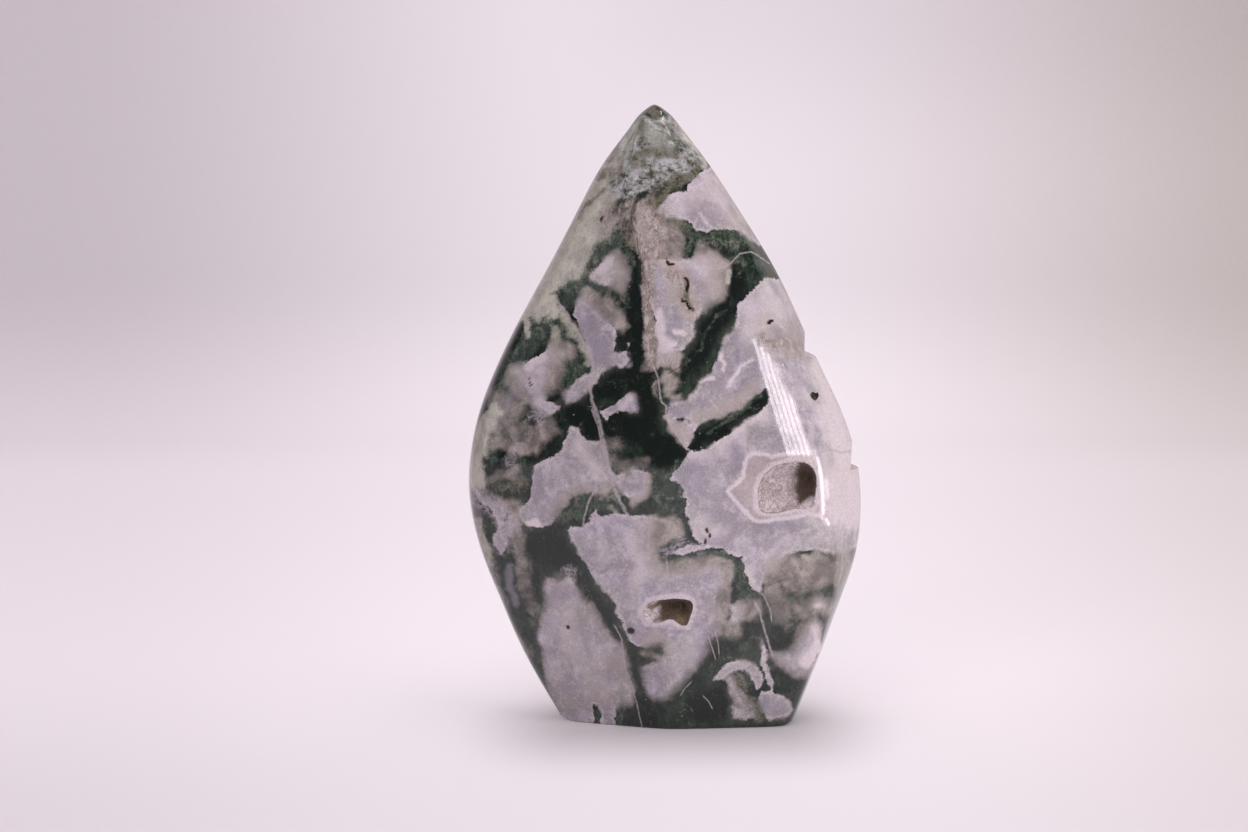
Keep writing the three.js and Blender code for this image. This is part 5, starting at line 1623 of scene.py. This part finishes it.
class AGATE_OT_stage(bpy.types.Operator):
    """Makes the pale paper sweep, the lights and the camera"""

    bl_idname = "agate.stage"
    bl_label = "Stage"

    def execute(self, context):
        scene = context.scene
        settings = scene.stage_settings
        profile = [(-1500, 0), (-700, 0), (-200, 0), (60, 0), (240, 0)]
        for i in range(1, 17):
            turn = i / 16 * math.pi / 2
            profile.append((300 + SWEEP_BEND * math.sin(turn), SWEEP_BEND - SWEEP_BEND * math.cos(turn)))
        profile += [(620, 700), (620, 1300)]
        across = np.linspace(-1600, 1600, 9)
        count = len(across)
        points = [(x, y, z) for y, z in profile for x in across]
        faces = []
        for row in range(len(profile) - 1):
            for a in range(row * count, row * count + count - 1):
                faces.append([a, a + 1, a + 1 + count, a + count])
        sweep = mesh_piece("paper_sweep", points, faces)
        sweep.data.materials.append(paper_material(tuple(settings.paper)))

        for name, light, colour, strength, *grid in MIRRORED_PANELS:
            mirrored_grid(name, glowing(light, colour, strength), *grid)
        for name, light, colour, strength, *wall in PLAIN_PANELS:
            reflected_wall(name, glowing(light, colour, strength), *wall)

        lilac = (1.0, 0.955, 0.985)
        front = settings.side * 0.42
        soft_light("overhead", (0, -0.1, 1.1), (0, 0.05, 0), (1.3, 1.3), settings.overhead, lilac)
        warm = (1.0, 0.97, 0.98)
        soft_light("from_right", (1, -0.65, 0.6), (0, 0, 0.05), (0.9, 0.9), settings.side, warm, False)
        soft_light("from_front", (-0.3, -1.2, 0.6), (0, 0, 0.05), (1, 0.8), front, lilac)
        world = bpy.data.worlds.new("room")
        world.use_nodes = True
        room = world.node_tree.nodes["Background"].inputs
        room[0].default_value = (0.9, 0.86, 0.92, 1)
        room[1].default_value = 0.05
        scene.world = world
        scene.view_settings.view_transform = "Standard"
        scene.view_settings.look = "None"

        lens = bpy.data.cameras.new("camera")
        lens.lens = FOCAL_LENGTH
        lens.sensor_width = SENSOR_WIDTH
        lens.clip_start = 0.01
        camera = placed("camera", lens)
        camera.location = EYE * MM
        camera.rotation_euler = (math.radians(CAMERA_TILT), 0, 0)
        scene.camera = camera
        return {"FINISHED"}


class AGATE_PT_panel(bpy.types.Panel):
    bl_label = "Agate flame"
    bl_idname = "AGATE_PT_panel"
    bl_space_type = "VIEW_3D"
    bl_region_type = "UI"
    bl_category = "Agate flame"

    def draw(self, context):
        for operator, settings in (
            (AGATE_OT_stone, context.scene.stone_sizes),
            (AGATE_OT_druse, context.scene.druse_settings),
            (AGATE_OT_stage, context.scene.stage_settings),
        ):
            box = self.layout.box()
            for key in settings.__annotations__:
                box.prop(settings, key)
            box.operator(operator.bl_idname)
        box = self.layout.box()
        for key in context.scene.agate_colours.__annotations__:
            box.prop(context.scene.agate_colours, key)


GROUPS = {
    "stone_sizes": StoneSizes,
    "agate_colours": AgateColours,
    "druse_settings": DruseSettings,
    "stage_settings": StageSettings,
}
OPERATORS = (AGATE_OT_stone, AGATE_OT_druse, AGATE_OT_stage)


def register():
    for kind in (*GROUPS.values(), *OPERATORS, AGATE_PT_panel):
        bpy.utils.register_class(kind)
    for name, group in GROUPS.items():
        setattr(bpy.types.Scene, name, PointerProperty(type=group))


def unregister():
    for name in GROUPS:
        delattr(bpy.types.Scene, name)
    for kind in (AGATE_PT_panel, *reversed(OPERATORS), *reversed(GROUPS.values())):
        bpy.utils.unregister_class(kind)


def main():
    register()
    bpy.ops.agate.stone()
    bpy.ops.agate.druse()
    bpy.ops.agate.stage()


if __name__ == "__main__":
    main()
